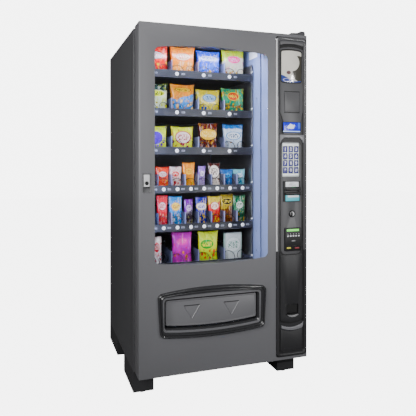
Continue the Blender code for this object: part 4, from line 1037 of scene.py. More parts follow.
    def copy_of(self, node: str) -> Shape:
        """Takes in a merged copy of a CAD node, with flat pairs of triangles joined."""
        bm = bmesh.new()
        bm.from_mesh(frame["nodes"][node].data)
        bmesh.ops.remove_doubles(bm, verts=bm.verts[:], dist=2e-6)
        bmesh.ops.join_triangles(bm, faces=bm.faces[:], angle_face_threshold=0.01,
                                 angle_shape_threshold=TURN / 2)
        return self.absorb(bm, outward=False)

    def finish(self, name: str, body: str, finishes: Sequence[Dress], edge: float = 0.0,
               instead_of: Sequence[str] = (), crease: float = 36.0) -> bpy.types.Object:
        """Makes the piece, dresses it and puts it on its body.

        Args:
            name: The piece's name.
            body: The CAD body that it rides on.
            finishes: Its finishes, one for each painted layer.
            edge: Radius of its sharp edges, or zero to leave them.
            instead_of: The CAD nodes that it stands for.
            crease: The angle in degrees above which an edge stays sharp.

        Returns:
            The finished object.
        """
        mesh = bpy.data.meshes.new(name)
        self.bm.to_mesh(mesh)
        self.bm.free()
        mesh.set_sharp_from_angle(angle=math.radians(crease))
        piece = bpy.data.objects.new(name, mesh)
        bpy.context.scene.collection.objects.link(piece)
        for finish in finishes:
            mesh.materials.append(STORE.material(finish))
        if edge:
            bevel = piece.modifiers.new("Rounded edges", "BEVEL")
            bevel.width, bevel.segments, bevel.limit_method = edge, 2, "ANGLE"
            bevel.angle_limit, bevel.harden_normals = math.radians(crease), True
        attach(piece, body)
        if instead_of:
            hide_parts(*instead_of)
        LOG.info("%s on %s: %d faces", name, body, len(mesh.polygons))
        return piece


def round_off(bm: bmesh.types.BMesh, edges: Sequence[bmesh.types.BMEdge], width: float, steps: int) -> None:
    """Rounds edges with the Bevel operator."""
    bmesh.ops.bevel(bm, geom=list(edges), offset=width, offset_type="OFFSET", segments=steps, profile=0.5,
                    affect="EDGES", clamp_overlap=True, material=-1)


def ring_at(outline: Sequence[Point2], depth: float) -> list[Vector]:
    """An outline's points at one distance behind the door's face."""
    return [at(x, depth, z) for x, z in outline]


def soften(node: str, body: str, finish: Dress, edge: float) -> bpy.types.Object:
    """Dresses a CAD node as it is, with its sharp edges rounded.

    Args:
        node: The CAD node.
        body: The body it belongs to.
        finish: Its finish.
        edge: Radius of its edges.

    Returns:
        The piece that stands for it.
    """
    return Shape().copy_of(node).finish(f"{node}_skin", body, [finish], edge, [node])


# --- Sub-assemblies --------------------------------------------------------
@dataclass(frozen=True)
class Cabinet:
    """The steel cabinet: its shell, base, hinges, ladders, inner wall, feet and fittings."""

    louvres: int = 9
    louvre_width: float = 0.30
    louvre_pitch: float = 0.022
    louvre_low: float = 0.30
    screw_radius: float = 0.0045
    hinge_arm: tuple[Point2, ...] = ((0.806, 1.8305), (0.900, 1.8305), (0.901, 1.8400), (0.897, 1.8520),
                                     (0.874, 1.8520), (0.866, 1.8430), (0.818, 1.8400))
    wall_screws: tuple[float, ...] = (1.512, 1.109, 0.780, 0.675)

    def build(self) -> None:
        """Dresses the frame's nodes and adds the top hinge's arm, louvres, screws and the label."""
        for node, finish, edge in (
            ("cabinet_shell", CABINET_PAINT, 0.0030), ("base_frame", BASE, 0.0020),
            ("compartment_divider", LINER, 0.0008), ("left_tray_ladder", ZINC, 0.0006),
            ("right_tray_ladder", ZINC, 0.0006), ("top_hinge", DARK_AND_SHADE, 0.0012), ("bottom_hinge", DARK_AND_SHADE, 0.0012),
            ("coin_changer", DARK_AND_SHADE, 0.0030), ("power_inlet", DARK_AND_SHADE, 0.0012),
        ):
            soften(node, "cabinet", finish, edge)
        for corner in ("front_left", "rear_left", "front_right", "rear_right"):
            soften(f"foot_{corner}", f"foot_{corner}", ZINC, 0.0010)
        arm = Shape().plate(self.hinge_arm, 0.0090, 0.0700, edge=0.0016)
        arm.finish("top_hinge_arm", "cabinet", [CABINET_PAINT])
        self._add_louvres()
        self._add_inner_wall_fittings()

    def _add_louvres(self) -> None:
        """Pressed louvres and screws on the cabinet's back."""
        shell = Span.of("cabinet_shell")
        back, middle = shell.high.y, shell.centre.x
        grille = Shape()
        for row in range(self.louvres):
            z = self.louvre_low + row * self.louvre_pitch
            ends = middle - self.louvre_width / 2, middle + self.louvre_width / 2
            start, end = (Vector((x, back - 0.0015, z)) for x in ends)
            grille.rod(start, end, 0.0045, sides=16)
            slit = Vector((ends[0] + 0.004, back - 0.0005, z - 0.0085))
            grille.paint(1).box(slit, Vector((ends[1] - 0.004, back + 0.0004, z - 0.0050))).paint(0)
        grille.finish("rear_louvres", "cabinet", [CABINET_PAINT, DARK_AND_SHADE])
        screws = Shape()
        for x in (shell.low.x + 0.03, middle, shell.high.x - 0.03):
            for z in (shell.low.z + 0.06, shell.centre.z, shell.high.z - 0.06):
                head = Vector((x, back, z))
                screws.rod(head, head + Vector((0, 0.0018, 0)), self.screw_radius, sides=20, edge=0.0006)
        screws.finish("rear_screws", "cabinet", [ZINC])

    def _add_inner_wall_fittings(self) -> None:
        """Screws and the blank label on the inner wall."""
        wall = Span.of("compartment_divider")
        face = wall.low.x - LEFT
        screws = Shape()
        for z in self.wall_screws:
            foot, head = at(face, 0.177, z), at(face - 0.0022, 0.177, z)
            screws.rod(foot, head, self.screw_radius, sides=16, edge=0.0007)
        screws.finish("inner_wall_screws", "cabinet", [ZINC])
        label = Shape().slab((face - 0.0008, face - 0.0001, 1.738, 1.790), 0.167, 0.267, 0.0002)
        label.finish("inner_wall_label", "cabinet", [PAPER])


@dataclass(frozen=True)
class Door:
    """The folded steel door with its glass, gasket, liner, lamp and lock."""

    painted_shade_width: float = 0.655

    def build(self) -> None:
        """Dresses the door's nodes."""
        for node, finish, edge in (
            ("door_skin", DOOR_PAINT, 0.0028), ("door_gasket", RUBBER, 0.0012),
            ("lamp_strip", LAMP, 0.0015), ("delivery_bin", DARK_AND_SHADE, 0.0010), ("lock_dish", DISH, 0.0012),
        ):
            soften(node, "door", finish, edge)
        liner = Shape().copy_of("window_liner")
        # Painted shade: the liner is painted dark left of the given width, and keeps the pale liner colour
        # only on its lit right reveal.
        for face in liner.bm.faces:
            face.material_index = int(face.calc_center_median().x < LEFT + self.painted_shade_width)
        liner.finish("window_liner_skin", "door", [LINER, LINER_SHADE], 0.0010, ["window_liner"])
        soften("lock_handle", "lock_handle", LATCH, 0.0014)
        soften("lock_cylinder", "lock_cylinder", DARK_AND_SHADE, 0.0006)
        soften("anti_theft_flap", "anti_theft_flap", DARK_AND_SHADE, 0.0008)
        panes = frame["nodes"]["door_glass"].data.materials
        panes.clear()
        panes.append(STORE.material(GLASS))


@dataclass(frozen=True)
class ControlPanel:
    """The moulded panel down the door's right side, with everything set into it."""

    left: float = 0.723
    right: float = 0.899
    low: float = 0.150
    high: float = 1.812
    corner: float = 0.022
    rim: tuple[Point2, ...] = (
        (0.0, -0.0003), (0.001, -0.0030), (0.004, -0.0060), (0.009, -0.0078), (0.014, -0.0072),
        (0.018, -0.0045), (0.0205, 0.0010), (0.0220, 0.0086),
    )
    highlight_band: float = 0.0045
    glossy_top: float = 0.70
    floor: float = 0.0088
    floor_inset: float = 0.0215
    neck_shadow: tuple[Point2, ...] = (
        (0.745, 1.421), (0.767, 1.368), (0.767, 1.304), (0.874, 1.304), (0.874, 1.368), (0.888, 1.421),
    )
    neck_plate: tuple[Point2, ...] = (
        (0.749, 1.425), (0.771, 1.372), (0.771, 1.306), (0.870, 1.306), (0.870, 1.372), (0.884, 1.425),
    )
    middle_shadow: Rect = (0.745, 0.890, 0.674, 1.286)
    middle_plate: Rect = (0.754, 0.875, 0.680, 1.268)
    lower_shadow: Rect = (0.747, 0.889, 0.330, 0.678)
    lower_plate: Rect = (0.752, 0.884, 0.338, 0.674)
    foot_plate: Rect = (0.752, 0.884, 0.176, 0.292)
    blank: Rect = (0.775, 0.861, 1.426, 1.526)
    blank_slots: Point2 = (1.5300, 1.4205)
    blank_sides: Point2 = (0.7725, 0.8620)
    shade_leaf: tuple[Point2, ...] = (
        (-0.3, 0.94), (-0.75, 0.6), (-0.94, 0.0), (-0.75, -0.6), (-0.3, -0.94), (0.1, -0.5), (0.1, 0.5),
    )

    def build(self) -> None:
        """Makes the moulding, then each item on it."""
        self._add_moulding()
        self._add_lens()
        self._add_blank_plate()
        self._add_display()
        self._add_keypad()
        self._add_validator()
        self._add_button()
        self._add_reader()
        self._add_coin_cup()

    def _ring(self, inset: float) -> list[Point2]:
        """The panel's outline, moved inwards, and less far on the door's own edge."""
        span = (self.left + inset, self.right - 0.6 * inset, self.low + inset, self.high - inset)
        return bowed(span, max(self.corner - 0.5 * inset, 0.008))

    def _add_moulding(self) -> None:
        """The rolled rim, dark sheets painted as shadow in the grooves, the raised plates, the hood, the
        ledge painted light as a highlight, and the light stripe.
        """
        mouth = bowed(Span.of("coin_cup").seen(-0.001), 0.010, steps=4, bays=4)
        knob = Span.of("coin_return_button")
        bore = circle(knob.centre.x - LEFT, knob.centre.z, knob.size.x / 2 + 0.0004)
        shape = Shape().loft([ring_at(self._ring(inset), depth) for inset, depth in self.rim], (False, False))
        # The floor behind the plates is painted dark, as shade in the grooves between them.
        shape.paint(4).plate(self._ring(self.floor_inset), self.floor, self.floor + 0.004, [mouth, bore])
        self._paint_rim(shape)
        hood = swept((0.745, 1.768), (0.887, 1.768), -0.010) + [(0.887, 1.797), (0.745, 1.797)]
        stripe = swept((0.757, 0.312), (0.882, 0.312), 0.015) + swept((0.888, 0.326), (0.884, 0.300), 0.0, 2)
        stripe += swept((0.882, 0.291), (0.757, 0.297), 0.012)
        ledge = swept((0.747, 1.304), (0.888, 1.304), 0.0, 8)
        ledge += [(0.892, 1.262), (0.884, 1.262), (0.878, 1.276)]
        ledge += swept((0.862, 1.289), (0.772, 1.289), 0.0, 6)
        ledge += [(0.756, 1.276), (0.749, 1.262), (0.745, 1.262)]
        for layer, outline, front, holes, edge in (
            (1, hood, -0.0015, [], 0.003),
            # Dark sheets just behind the raised plates, as painted shadow in the grooves round them and under
            # the hood.
            (4, [*swept((0.888, 1.772), (0.745, 1.772), -0.008), *self.neck_shadow], 0.0078, [], 0.0),
            (4, bowed(self.middle_shadow, 0.034), 0.0078, [bore], 0.0),
            (4, bowed(self.lower_shadow, 0.008, drop=0.014), 0.0082, [mouth], 0.0),
            (1, [*swept((0.884, 1.752), (0.749, 1.752), -0.010), *self.neck_plate], 0.0045, [], 0.002),
            (1, bowed(self.middle_plate, 0.030), 0.0062, [bore], 0.002),
            (2, bowed(self.lower_plate, 0.006, drop=0.014), 0.0064, [mouth], 0.0015),
            (2, bowed(self.foot_plate, 0.008, rise=-0.016), 0.0060, [], 0.002),
            (3, stripe, 0.0035, [], 0.0025),
            # The ledge is painted light, as a painted highlight on its rounded upper face.
            (3, ledge, -0.0005, [], 0.0035),
        ):
            shape.paint(layer).plate(outline, front, self.floor + 0.001, holes, edge)
        shape.finish("control_panel_moulding", "door", [MOULDING, PLATE, GLOSSY_AND_SHADE, LIGHT_TRIM_AND_HIGHLIGHT, DARK_AND_SHADE, RIM_HIGHLIGHT],
                     instead_of=["control_panel"])

    def _paint_rim(self, shape: Shape) -> None:
        """Paints a band on the rim's left pale as a painted highlight, and all below the glossy part's top
        dark, with the floor that is painted dark as shade in the grooves.
        """
        geometry = shape.bm.verts[:] + shape.bm.edges[:] + shape.bm.faces[:]
        bmesh.ops.bisect_plane(shape.bm, geom=geometry, plane_co=(0, 0, self.glossy_top), plane_no=(0, 0, 1))
        for face in shape.bm.faces:
            middle = face.calc_center_median()
            low, highlight_band = middle.z < self.glossy_top, middle.x < at(self.left + self.highlight_band, 0.0, 0.0).x
            # Painted highlight on the rim's left band; the floor goes dark as painted shade.
            face.material_index = 2 if low or face.material_index == 4 else 5 if highlight_band else 0

    def _add_lens(self) -> None:
        """The picture card in its dark bezel."""
        span = Span.of("picture_lens")
        left, right, low, high = span.seen()
        bezel = bowed((left - 0.001, right + 0.001, low - 0.004, high + 0.004), 0.010, 0.006, 0.004)
        card = bowed((left + 0.004, right - 0.002, low + 0.002, high - 0.004), 0.008, 0.006, 0.004)
        Shape().plate(bezel, 0.0030, 0.0080, [card], 0.001).finish("picture_bezel", "door", [DARK_AND_SHADE])
        picture = Picture("picture card", "picture_print", span.centre.xz[:])
        shape = Shape().plate(card, 0.0042, 0.0080, edge=0.0004)
        shape.finish("picture_card", "door", [picture], instead_of=["picture_lens"])

    def _add_blank_plate(self) -> None:
        """The square blank below the picture, with a dark slot above and below it."""
        plate = Shape().plate(bowed(self.blank, 0.003, steps=3), 0.0030, 0.0055, edge=0.001).paint(1)
        for z in self.blank_slots:
            plate.slab((0.772, 0.864, z - 0.0022, z + 0.0022), 0.0026, 0.0050, 0.0008)
        for x in self.blank_sides:
            plate.slab((x, x + 0.0012, 1.424, 1.528), 0.0038, 0.0050, 0.0003)
        plate.finish("blank_plate", "door", [PLATE, DARK_AND_SHADE])

    def _add_display(self) -> None:
        """The lit display in a thin bezel."""
        span = Span.of("display_window")
        glass = bowed(span.seen(-0.003), 0.003, steps=3)
        bezel = Shape().plate(bowed(span.seen(), 0.005, steps=3), 0.0015, 0.0070, [glass], 0.0008)
        bezel.finish("display_bezel", "door", [DARK_AND_SHADE])
        screen = Screen("display screen", "display_blue", span.centre.xz[:])
        shape = Shape().plate(glass, 0.0024, 0.0070, edge=0.0003)
        shape.finish("display_screen", "door", [screen], instead_of=["display_window"])

    def _add_keypad(self) -> None:
        """The silver plate with its wells and their dark rims, and the twelve domed keys."""
        span = Span.of("keypad_plate")
        front = span.low.y - FACE
        keys = [f"key_{number:02d}" for number in range(1, 13)]
        wells, rims = ([bowed(Span.of(key).seen(gap), 0.0040, steps=4, bays=2) for key in keys]
                       for gap in (0.0004, 0.0016))
        outline = bowed(span.seen(), 0.004, steps=4)
        plate = Shape().plate(outline, front - 0.0010, span.high.y - FACE, wells, 0.0004).paint(1)
        for well, rim in zip(wells, rims):
            plate.plate(rim, front - 0.0012, front - 0.0004, [well])
        plate.finish("keypad_surround", "door", [SILVER, DARK_AND_SHADE], instead_of=["keypad_plate"])
        for key, legend in zip(keys, "123456789*0#"):
            self._add_key(key, legend)

    def _add_key(self, node: str, legend: str) -> None:
        """One key with its legend.

        Args:
            node: The key's node, which is also its body.
            legend: What is printed on it.
        """
        span = Span.of(node)
        cap = Shape().box(span.low, span.high, 0.0030, 4).paint(1)
        front = Vector((span.centre.x, span.low.y - 0.0001, span.centre.z))
        cap.glyph(legend, front, 0.017, 0.0003)
        cap.finish(f"{node}_cap", node, [NAVY, LEGEND], instead_of=[node])

    def _add_validator(self) -> None:
        """The note validator: a black body, a bulged mouth round its slot, plain labels and green arrows."""
        span = Span.of("bill_validator")
        left, right, low, high = span.seen()
        front, slot = span.low.y - FACE, span.centre.z
        body = Shape().copy_of("bill_validator")
        for out, bottom, top in ((0.0065, 0.0038, 0.0205), (0.0085, -0.0195, -0.0038)):
            lip = (left + 0.004, right + 0.002, slot + bottom, slot + top)
            body.slab(lip, front - out, front + 0.004, 0.004, 3)
        for layer, label, out, sunk, edge in (
            (1, (left + 0.008, right - 0.010, slot + 0.0235, high - 0.004), 0.0010, 0.0005, 0.0004),
            (2, (left + 0.008, right - 0.006, low + 0.003, slot - 0.0205), 0.0010, 0.0005, 0.0004),
            (1, (left + 0.020, right - 0.009, slot - 0.0315, slot - 0.0215), 0.0014, -0.0003, 0.0003),
        ):
            body.paint(layer).slab(label, front - out, front + sunk, edge)
        body.paint(4)
        for x in (left + 0.050, left + 0.064):
            arrow = [(x - 0.004, slot + 0.0215), (x + 0.004, slot + 0.0215), (x, slot + 0.0275)]
            body.plate(arrow, front - 0.0020, front)
        body.paint(3)
        for row, (start, stop) in enumerate(((0.034, 0.060), (0.026, 0.048), (0.030, 0.066))):
            z = high - 0.0100 - 0.0055 * row
            body.slab((left + start, left + stop, z - 0.0010, z + 0.0010), front - 0.0013, front, 0.0002)
        body.finish("note_validator", "door", [DARK_AND_SHADE, PAPER, TEAL, INKED, ARROW], 0.0010, ["bill_validator"])

    def _add_button(self) -> None:
        """The coin return knob in its ring, its left half covered by a dark plate that is painted shade."""
        span = Span.of("coin_return_button")
        middle = Vector((span.centre.x, FACE + 0.0062, span.centre.z))
        radius = span.size.x / 2
        ring = [(radius + 0.0006, -0.002), (radius + 0.0006, 0.0030), (radius + 0.0022, 0.0042),
                (radius + 0.0050, 0.0034), (radius + 0.0066, 0.0)]
        Shape().turned(ring, middle).finish("button_ring", "door", [DARK_AND_SHADE])
        dome = [(0.0, -0.0010), (radius * 0.96, -0.0010), (radius * 0.96, 0.0030), (radius * 0.84, 0.0048),
                (radius * 0.5, 0.0056), (0.0, 0.0058)]
        x, z = span.centre.x - LEFT, span.centre.z
        knob = Shape().turned(dome, middle).paint(1)
        # Painted shade: a dark plate over the knob's left half.
        knob.plate([(x + radius * a, z + radius * b) for a, b in self.shade_leaf], -0.0006, 0.0022, edge=0.0006)
        knob.finish("coin_return_knob", "coin_return_button", [LATCH, DARK_AND_SHADE],
                    instead_of=["coin_return_button"])

    def _add_reader(self) -> None:
        """The card reader with its light strip, row of signs and pips."""
        span = Span.of("card_reader")
        left, right, low, high = span.seen()
        front = span.low.y - FACE
        body = Shape().plate(bowed(span.seen(), 0.006, steps=4), front, span.high.y - FACE, edge=0.003)
        marks = [(1, (left + 0.012, right - 0.016, high - 0.0185, high - 0.0075), 0.0012, 0.001)]
        for sign in range(5):
            x = left + 0.014 + 0.016 * sign
            marks.append((2, (x, x + 0.009, high - 0.0460, high - 0.0400), 0.0007, 0.0003))
            marks.append((2, (x + 0.003, x + 0.006, high - 0.0340, high - 0.0315), 0.0007, 0.0003))
        marks += [
            (3, (left + 0.040, left + 0.062, high - 0.0720, high - 0.0660), 0.0007, 0.0003),
            (4, (left + 0.012, left + 0.036, low + 0.0130, low + 0.0210), 0.0007, 0.0003),
            (5, (right - 0.040, right - 0.014, low + 0.0120, low + 0.0190), 0.0007, 0.0003),
            (0, (left + 0.004, right - 0.004, low + 0.0245, low + 0.0285), 0.0016, 0.0012),
        ]
        for layer, mark, out, edge in marks:
            body.paint(layer).slab(mark, front - out, front + 0.001, edge)
        finishes = [DARK_AND_SHADE, LED, PAPER, PALE_AND_HIGHLIGHT, AMBER, ROSE]
        body.finish("card_reader_body", "door", finishes, instead_of=["card_reader"])

    def _add_coin_cup(self) -> None:
        """The coin cup, its flap and the pale lip below its mouth."""
        soften("coin_cup", "door", DARK_AND_SHADE, 0.0008)
        soften("coin_cup_flap", "coin_cup_flap", DARK_AND_SHADE, 0.0012)
        left, right, low, _ = Span.of("coin_cup").seen()
        crescent = swept((left + 0.004, low - 0.001), (right - 0.002, low + 0.002), 0.006)
        crescent += swept((right - 0.003, low - 0.004), (left + 0.010, low - 0.006), 0.010)
        Shape().plate(crescent, 0.0022, 0.0075, edge=0.0020).finish("coin_cup_lip", "door", [PALE_AND_HIGHLIGHT])


@dataclass(frozen=True)
class DeliveryBin:
    """The delivery mouth: its rolled surround and its push flap."""

    outer: Rect = (0.090, 0.664, 0.322, 0.530)
    throat: Rect = (0.130, 0.624, 0.360, 0.497)
    rise: float = 0.023
    drop: float = 0.017
    taper: float = 0.012
    corner: float = 0.022
    throat_drop: float = 0.014
    throat_corner: float = 0.010
    triangles: Point2 = (0.2710, 0.4820)
    section: tuple[Point2, ...] = (
        (0.0, 0.0005), (0.015, -0.0060), (0.06, -0.0115), (0.13, -0.0145), (0.20, -0.0150), (0.27, -0.0125),
        (0.32, -0.0095), (0.37, -0.0125), (0.45, -0.0140), (0.52, -0.0120), (0.58, -0.0060), (0.66, 0.0020),
        (0.80, 0.0085), (0.95, 0.0125), (1.0, 0.0150), (1.0, 0.0340),
    )

    def build(self) -> None:
        """Makes the surround and the flap."""
        outer = bowed(self.outer, self.corner, self.rise, self.drop, self.taper, 6, 24)
        inner = bowed(self.throat, self.throat_corner, 0.0, self.throat_drop, 0.0, 6, 24)
        rings = []
        for share, depth in self.section:
            ring = [(a[0] + (b[0] - a[0]) * share, a[1] + (b[1] - a[1]) * share)
                    for a, b in zip(outer, inner)]
            rings.append(ring_at(ring, depth))
        surround = Shape().loft(rings, (False, False))
        surround.finish("bin_surround", "door", [BIN], instead_of=["bin_frame"], crease=50.0)
        self._add_flap()

    def _add_flap(self) -> None:
        """The push flap, with a raised border and two pressed triangles edged with painted shadow and painted
        highlight.
        """
        span = Span.of("bin_flap")
        left, right, low, high = span.seen()
        front, back = span.low.y - FACE, span.high.y - FACE
        low += self.throat_drop
        whole, rim, within = (
            bowed(seen, corner, drop=self.throat_drop, steps=4, bays=24)
            for seen, corner in (
                ((left, right, low, high), 0.006),
                ((left + 0.001, right - 0.001, low + 0.001, high - 0.001), 0.006),
                ((left + 0.008, right - 0.008, low + 0.009, high - 0.008), 0.005),
            )
        )
        flap = Shape().plate(whole, front, back, edge=0.0015)
        flap.plate(rim, front - 0.0016, front + 0.001, [within], 0.0010)
        for centre in self.triangles:
            self._add_triangle(flap, centre, front)
        flap.finish("bin_push_flap", "bin_flap", [FLAP, DARK_AND_SHADE, PALE_AND_HIGHLIGHT], instead_of=["bin_flap"])

    def _add_triangle(self, flap: Shape, centre: float, front: float) -> None:
        """One pressed triangle, drawn as rods: its upper edge painted dark as shadow and its right edge
        painted pale as a highlight.

        Args:
            flap: The flap to add it to.
            centre: Its middle, from the door's left edge.
            front: The flap's front.
        """
        half, top, foot = 0.041, 0.457, 0.393
        # The right-hand rod takes the pale finish as a painted highlight.
        for side in (-1, 1):
            start = at(centre + side * half, front + 0.0002, top)
            flap.paint(2 if side > 0 else 0).rod(start, at(centre, front + 0.0002, foot), 0.0022, sides=12)
        left, right = (at(centre + side * half, front + 0.0004, top + 0.001) for side in (-1, 1))
        # The upper rod is painted dark as shadow.
        flap.paint(1).rod(left, right, 0.0022, sides=12).paint(0)


@dataclass(frozen=True)
class Tray:
    """One tray of the machine: how many columns it has and where they stand."""

    number: int
    columns: int
    first: float = 0.0745
    width: float = 0.600
    lip: float = 0.020
    drop: float = 0.008
    front: float = 0.2000
    coil_radius: float = 0.0292
    coil_height: float = 0.034
    coil_front: float = 0.2103
    coil_pitch: float = 0.0703
    coils: int = 8
    coil_spacing: float = 0.075
    turns: int = 8
    wire: float = 0.0018
    motor_plate: float = 0.7850

    @property
    def node(self) -> str:
        """The tray's node and body."""
        return f"tray_{self.number}"

    @property
    def label(self) -> float:
        """Height of the middle of its front lip."""
        return Span.of(self.node).low.z + self.lip

    @property
    def base(self) -> float:
        """Height of its floor."""
        return self.label - self.drop

    @property
    def pitch(self) -> float:
        """Distance from one column to the next."""
        return self.width / self.columns

    def middle(self, column: int) -> float:
        """A column's middle, from the door's left edge."""
        return self.first + self.pitch * (column + 0.5)

    def coil_middle(self, coil: int) -> float:
        """A spiral's middle, from the door's left edge."""
        return self.first + self.coil_spacing * (coil + 0.5)

    def build(self) -> None:
        """Dresses the tray and adds its labels, tags, hook, motors and spirals."""
        sheet = Shape().copy_of(self.node)
        for face in sheet.bm.faces:
            middle = face.calc_center_median()
            inside = FACE + 0.204 < middle.y < FACE + 0.784 and middle.z > self.base + 0.002
            # Divider sides take the divider finish, which is painted dark behind their front edges as shade.
            face.material_index = int(inside and abs(face.normal.x) > 0.5)
        sheet.finish(f"{self.node}_sheet", self.node, [TRAY, SHADED_DIVIDER], 0.0005, [self.node])
        self._add_labels()
        self._add_motors()
        self._add_spirals()

    def _add_labels(self) -> None:
        """Round selection labels with numbers and plain price tags along the lip, and a hook at its right."""
        labels = Shape()
        disc_at, tag_at = (-0.0515, 0.0350) if self.columns == 4 else (-0.0110, 0.0300)
        front, z = self.front, self.label
        for column in range(self.columns):
            x = self.middle(column) + disc_at
            disc = at(x, front + 0.0002, z), at(x, front - 0.0012, z)
            labels.paint(0).rod(*disc, 0.0098, sides=32, edge=0.0003)
            labels.paint(1).glyph(f"{self.number}{column + 1}", at(x, front - 0.0013, z), 0.0068, 0.0001)
            tag = (x + tag_at - 0.009, x + tag_at + 0.009, z - 0.0045, z + 0.0045)
            labels.paint(2).slab(tag, front - 0.0010, front + 0.0002, 0.0003).paint(1)
            for bar in range(3):
                left = x + tag_at - 0.006 + 0.0045 * bar
                labels.slab((left, left + 0.0028, z - 0.0022, z + 0.0022), front - 0.0013, front - 0.0008)
        foot, tip = at(0.6810, front + 0.004, z + 0.030), at(0.6810, front - 0.010, z + 0.034)
        labels.paint(0).rod(foot, tip, 0.0032, 0.0024, sides=14, edge=0.0006)
        labels.finish(f"{self.node}_labels", self.node, [PAPER, INKED, TAG])

    def _add_motors(self) -> None:
        """A motor's cover and coupler at the rear of each spiral."""
        motors = Shape()
        back, z = self.motor_plate, self.base + self.coil_height
        for coil in range(self.coils):
            x = self.coil_middle(coil)
            cover = (x - 0.026, x + 0.026, self.base + 0.006, self.base + 0.068)
            motors.paint(0).slab(cover, back - 0.0015, back + 0.001, 0.0008)
            motors.paint(1).rod(at(x, back - 0.0012, z), at(x, back - 0.0110, z), 0.0085, 0.0070, 20, 0.0008)
        motors.finish(f"{self.node}_couplers", self.node, [DARK_AND_SHADE, PAPER])

    def _add_spirals(self) -> None:
        """The wire spirals, which on the first tray ride on their own bodies."""
        rest = Shape()
        for coil in range(self.coils):
            x = self.coil_middle(coil)
            hand = -1 if self.columns == 4 and coil % 2 else 1
            axis = at(x, self.coil_front, self.base + self.coil_height)
            rear = self.coil_front + self.turns * self.coil_pitch
            spiral = Shape() if self.number == 1 else rest
            spiral.spiral(axis, FACE + rear, self.coil_radius, self.wire, self.turns, hand)
            foot = at(x, rear, self.base + self.coil_height - self.coil_radius)
            hub = at(x, self.motor_plate - 0.0115, self.base + self.coil_height)
            spiral.rod(foot, hub, self.wire * 0.98, sides=8)
            if self.number == 1:
                body = f"coil_{coil // 2 + 1}_{'right' if coil % 2 else 'left'}"
                spiral.finish(f"{body}_wire", body, [WIRE], instead_of=[body])
        if self.number > 1:
            rest.finish(f"{self.node}_spirals", self.node, [WIRE])
        else:
            rest.bm.free()


# --- Packets ---------------------------------------------------------------
class Form(Enum):
    """The shapes of packet, as width, height, columns and rows of film, and thickness when full."""

    PILLOW = (0.144, 0.163, 28, 30, 0.058)
    TALL = (0.118, 0.168, 24, 32, 0.048)
    POUCH = (0.112, 0.158, 22, 28, 0.044)
    BAR = (0.067, 0.157, 16, 32, 0.030)
    SHORT = (0.074, 0.116, 16, 24, 0.032)
    CARTON = (0.108, 0.152, 0, 0, 0.018)


@dataclass(frozen=True)
class Product:
    """What one column holds: a form, its printed film, and how large it is beside the form."""

    form: Form
    film: Film
    width: float = 1.0
    height: float = 1.0


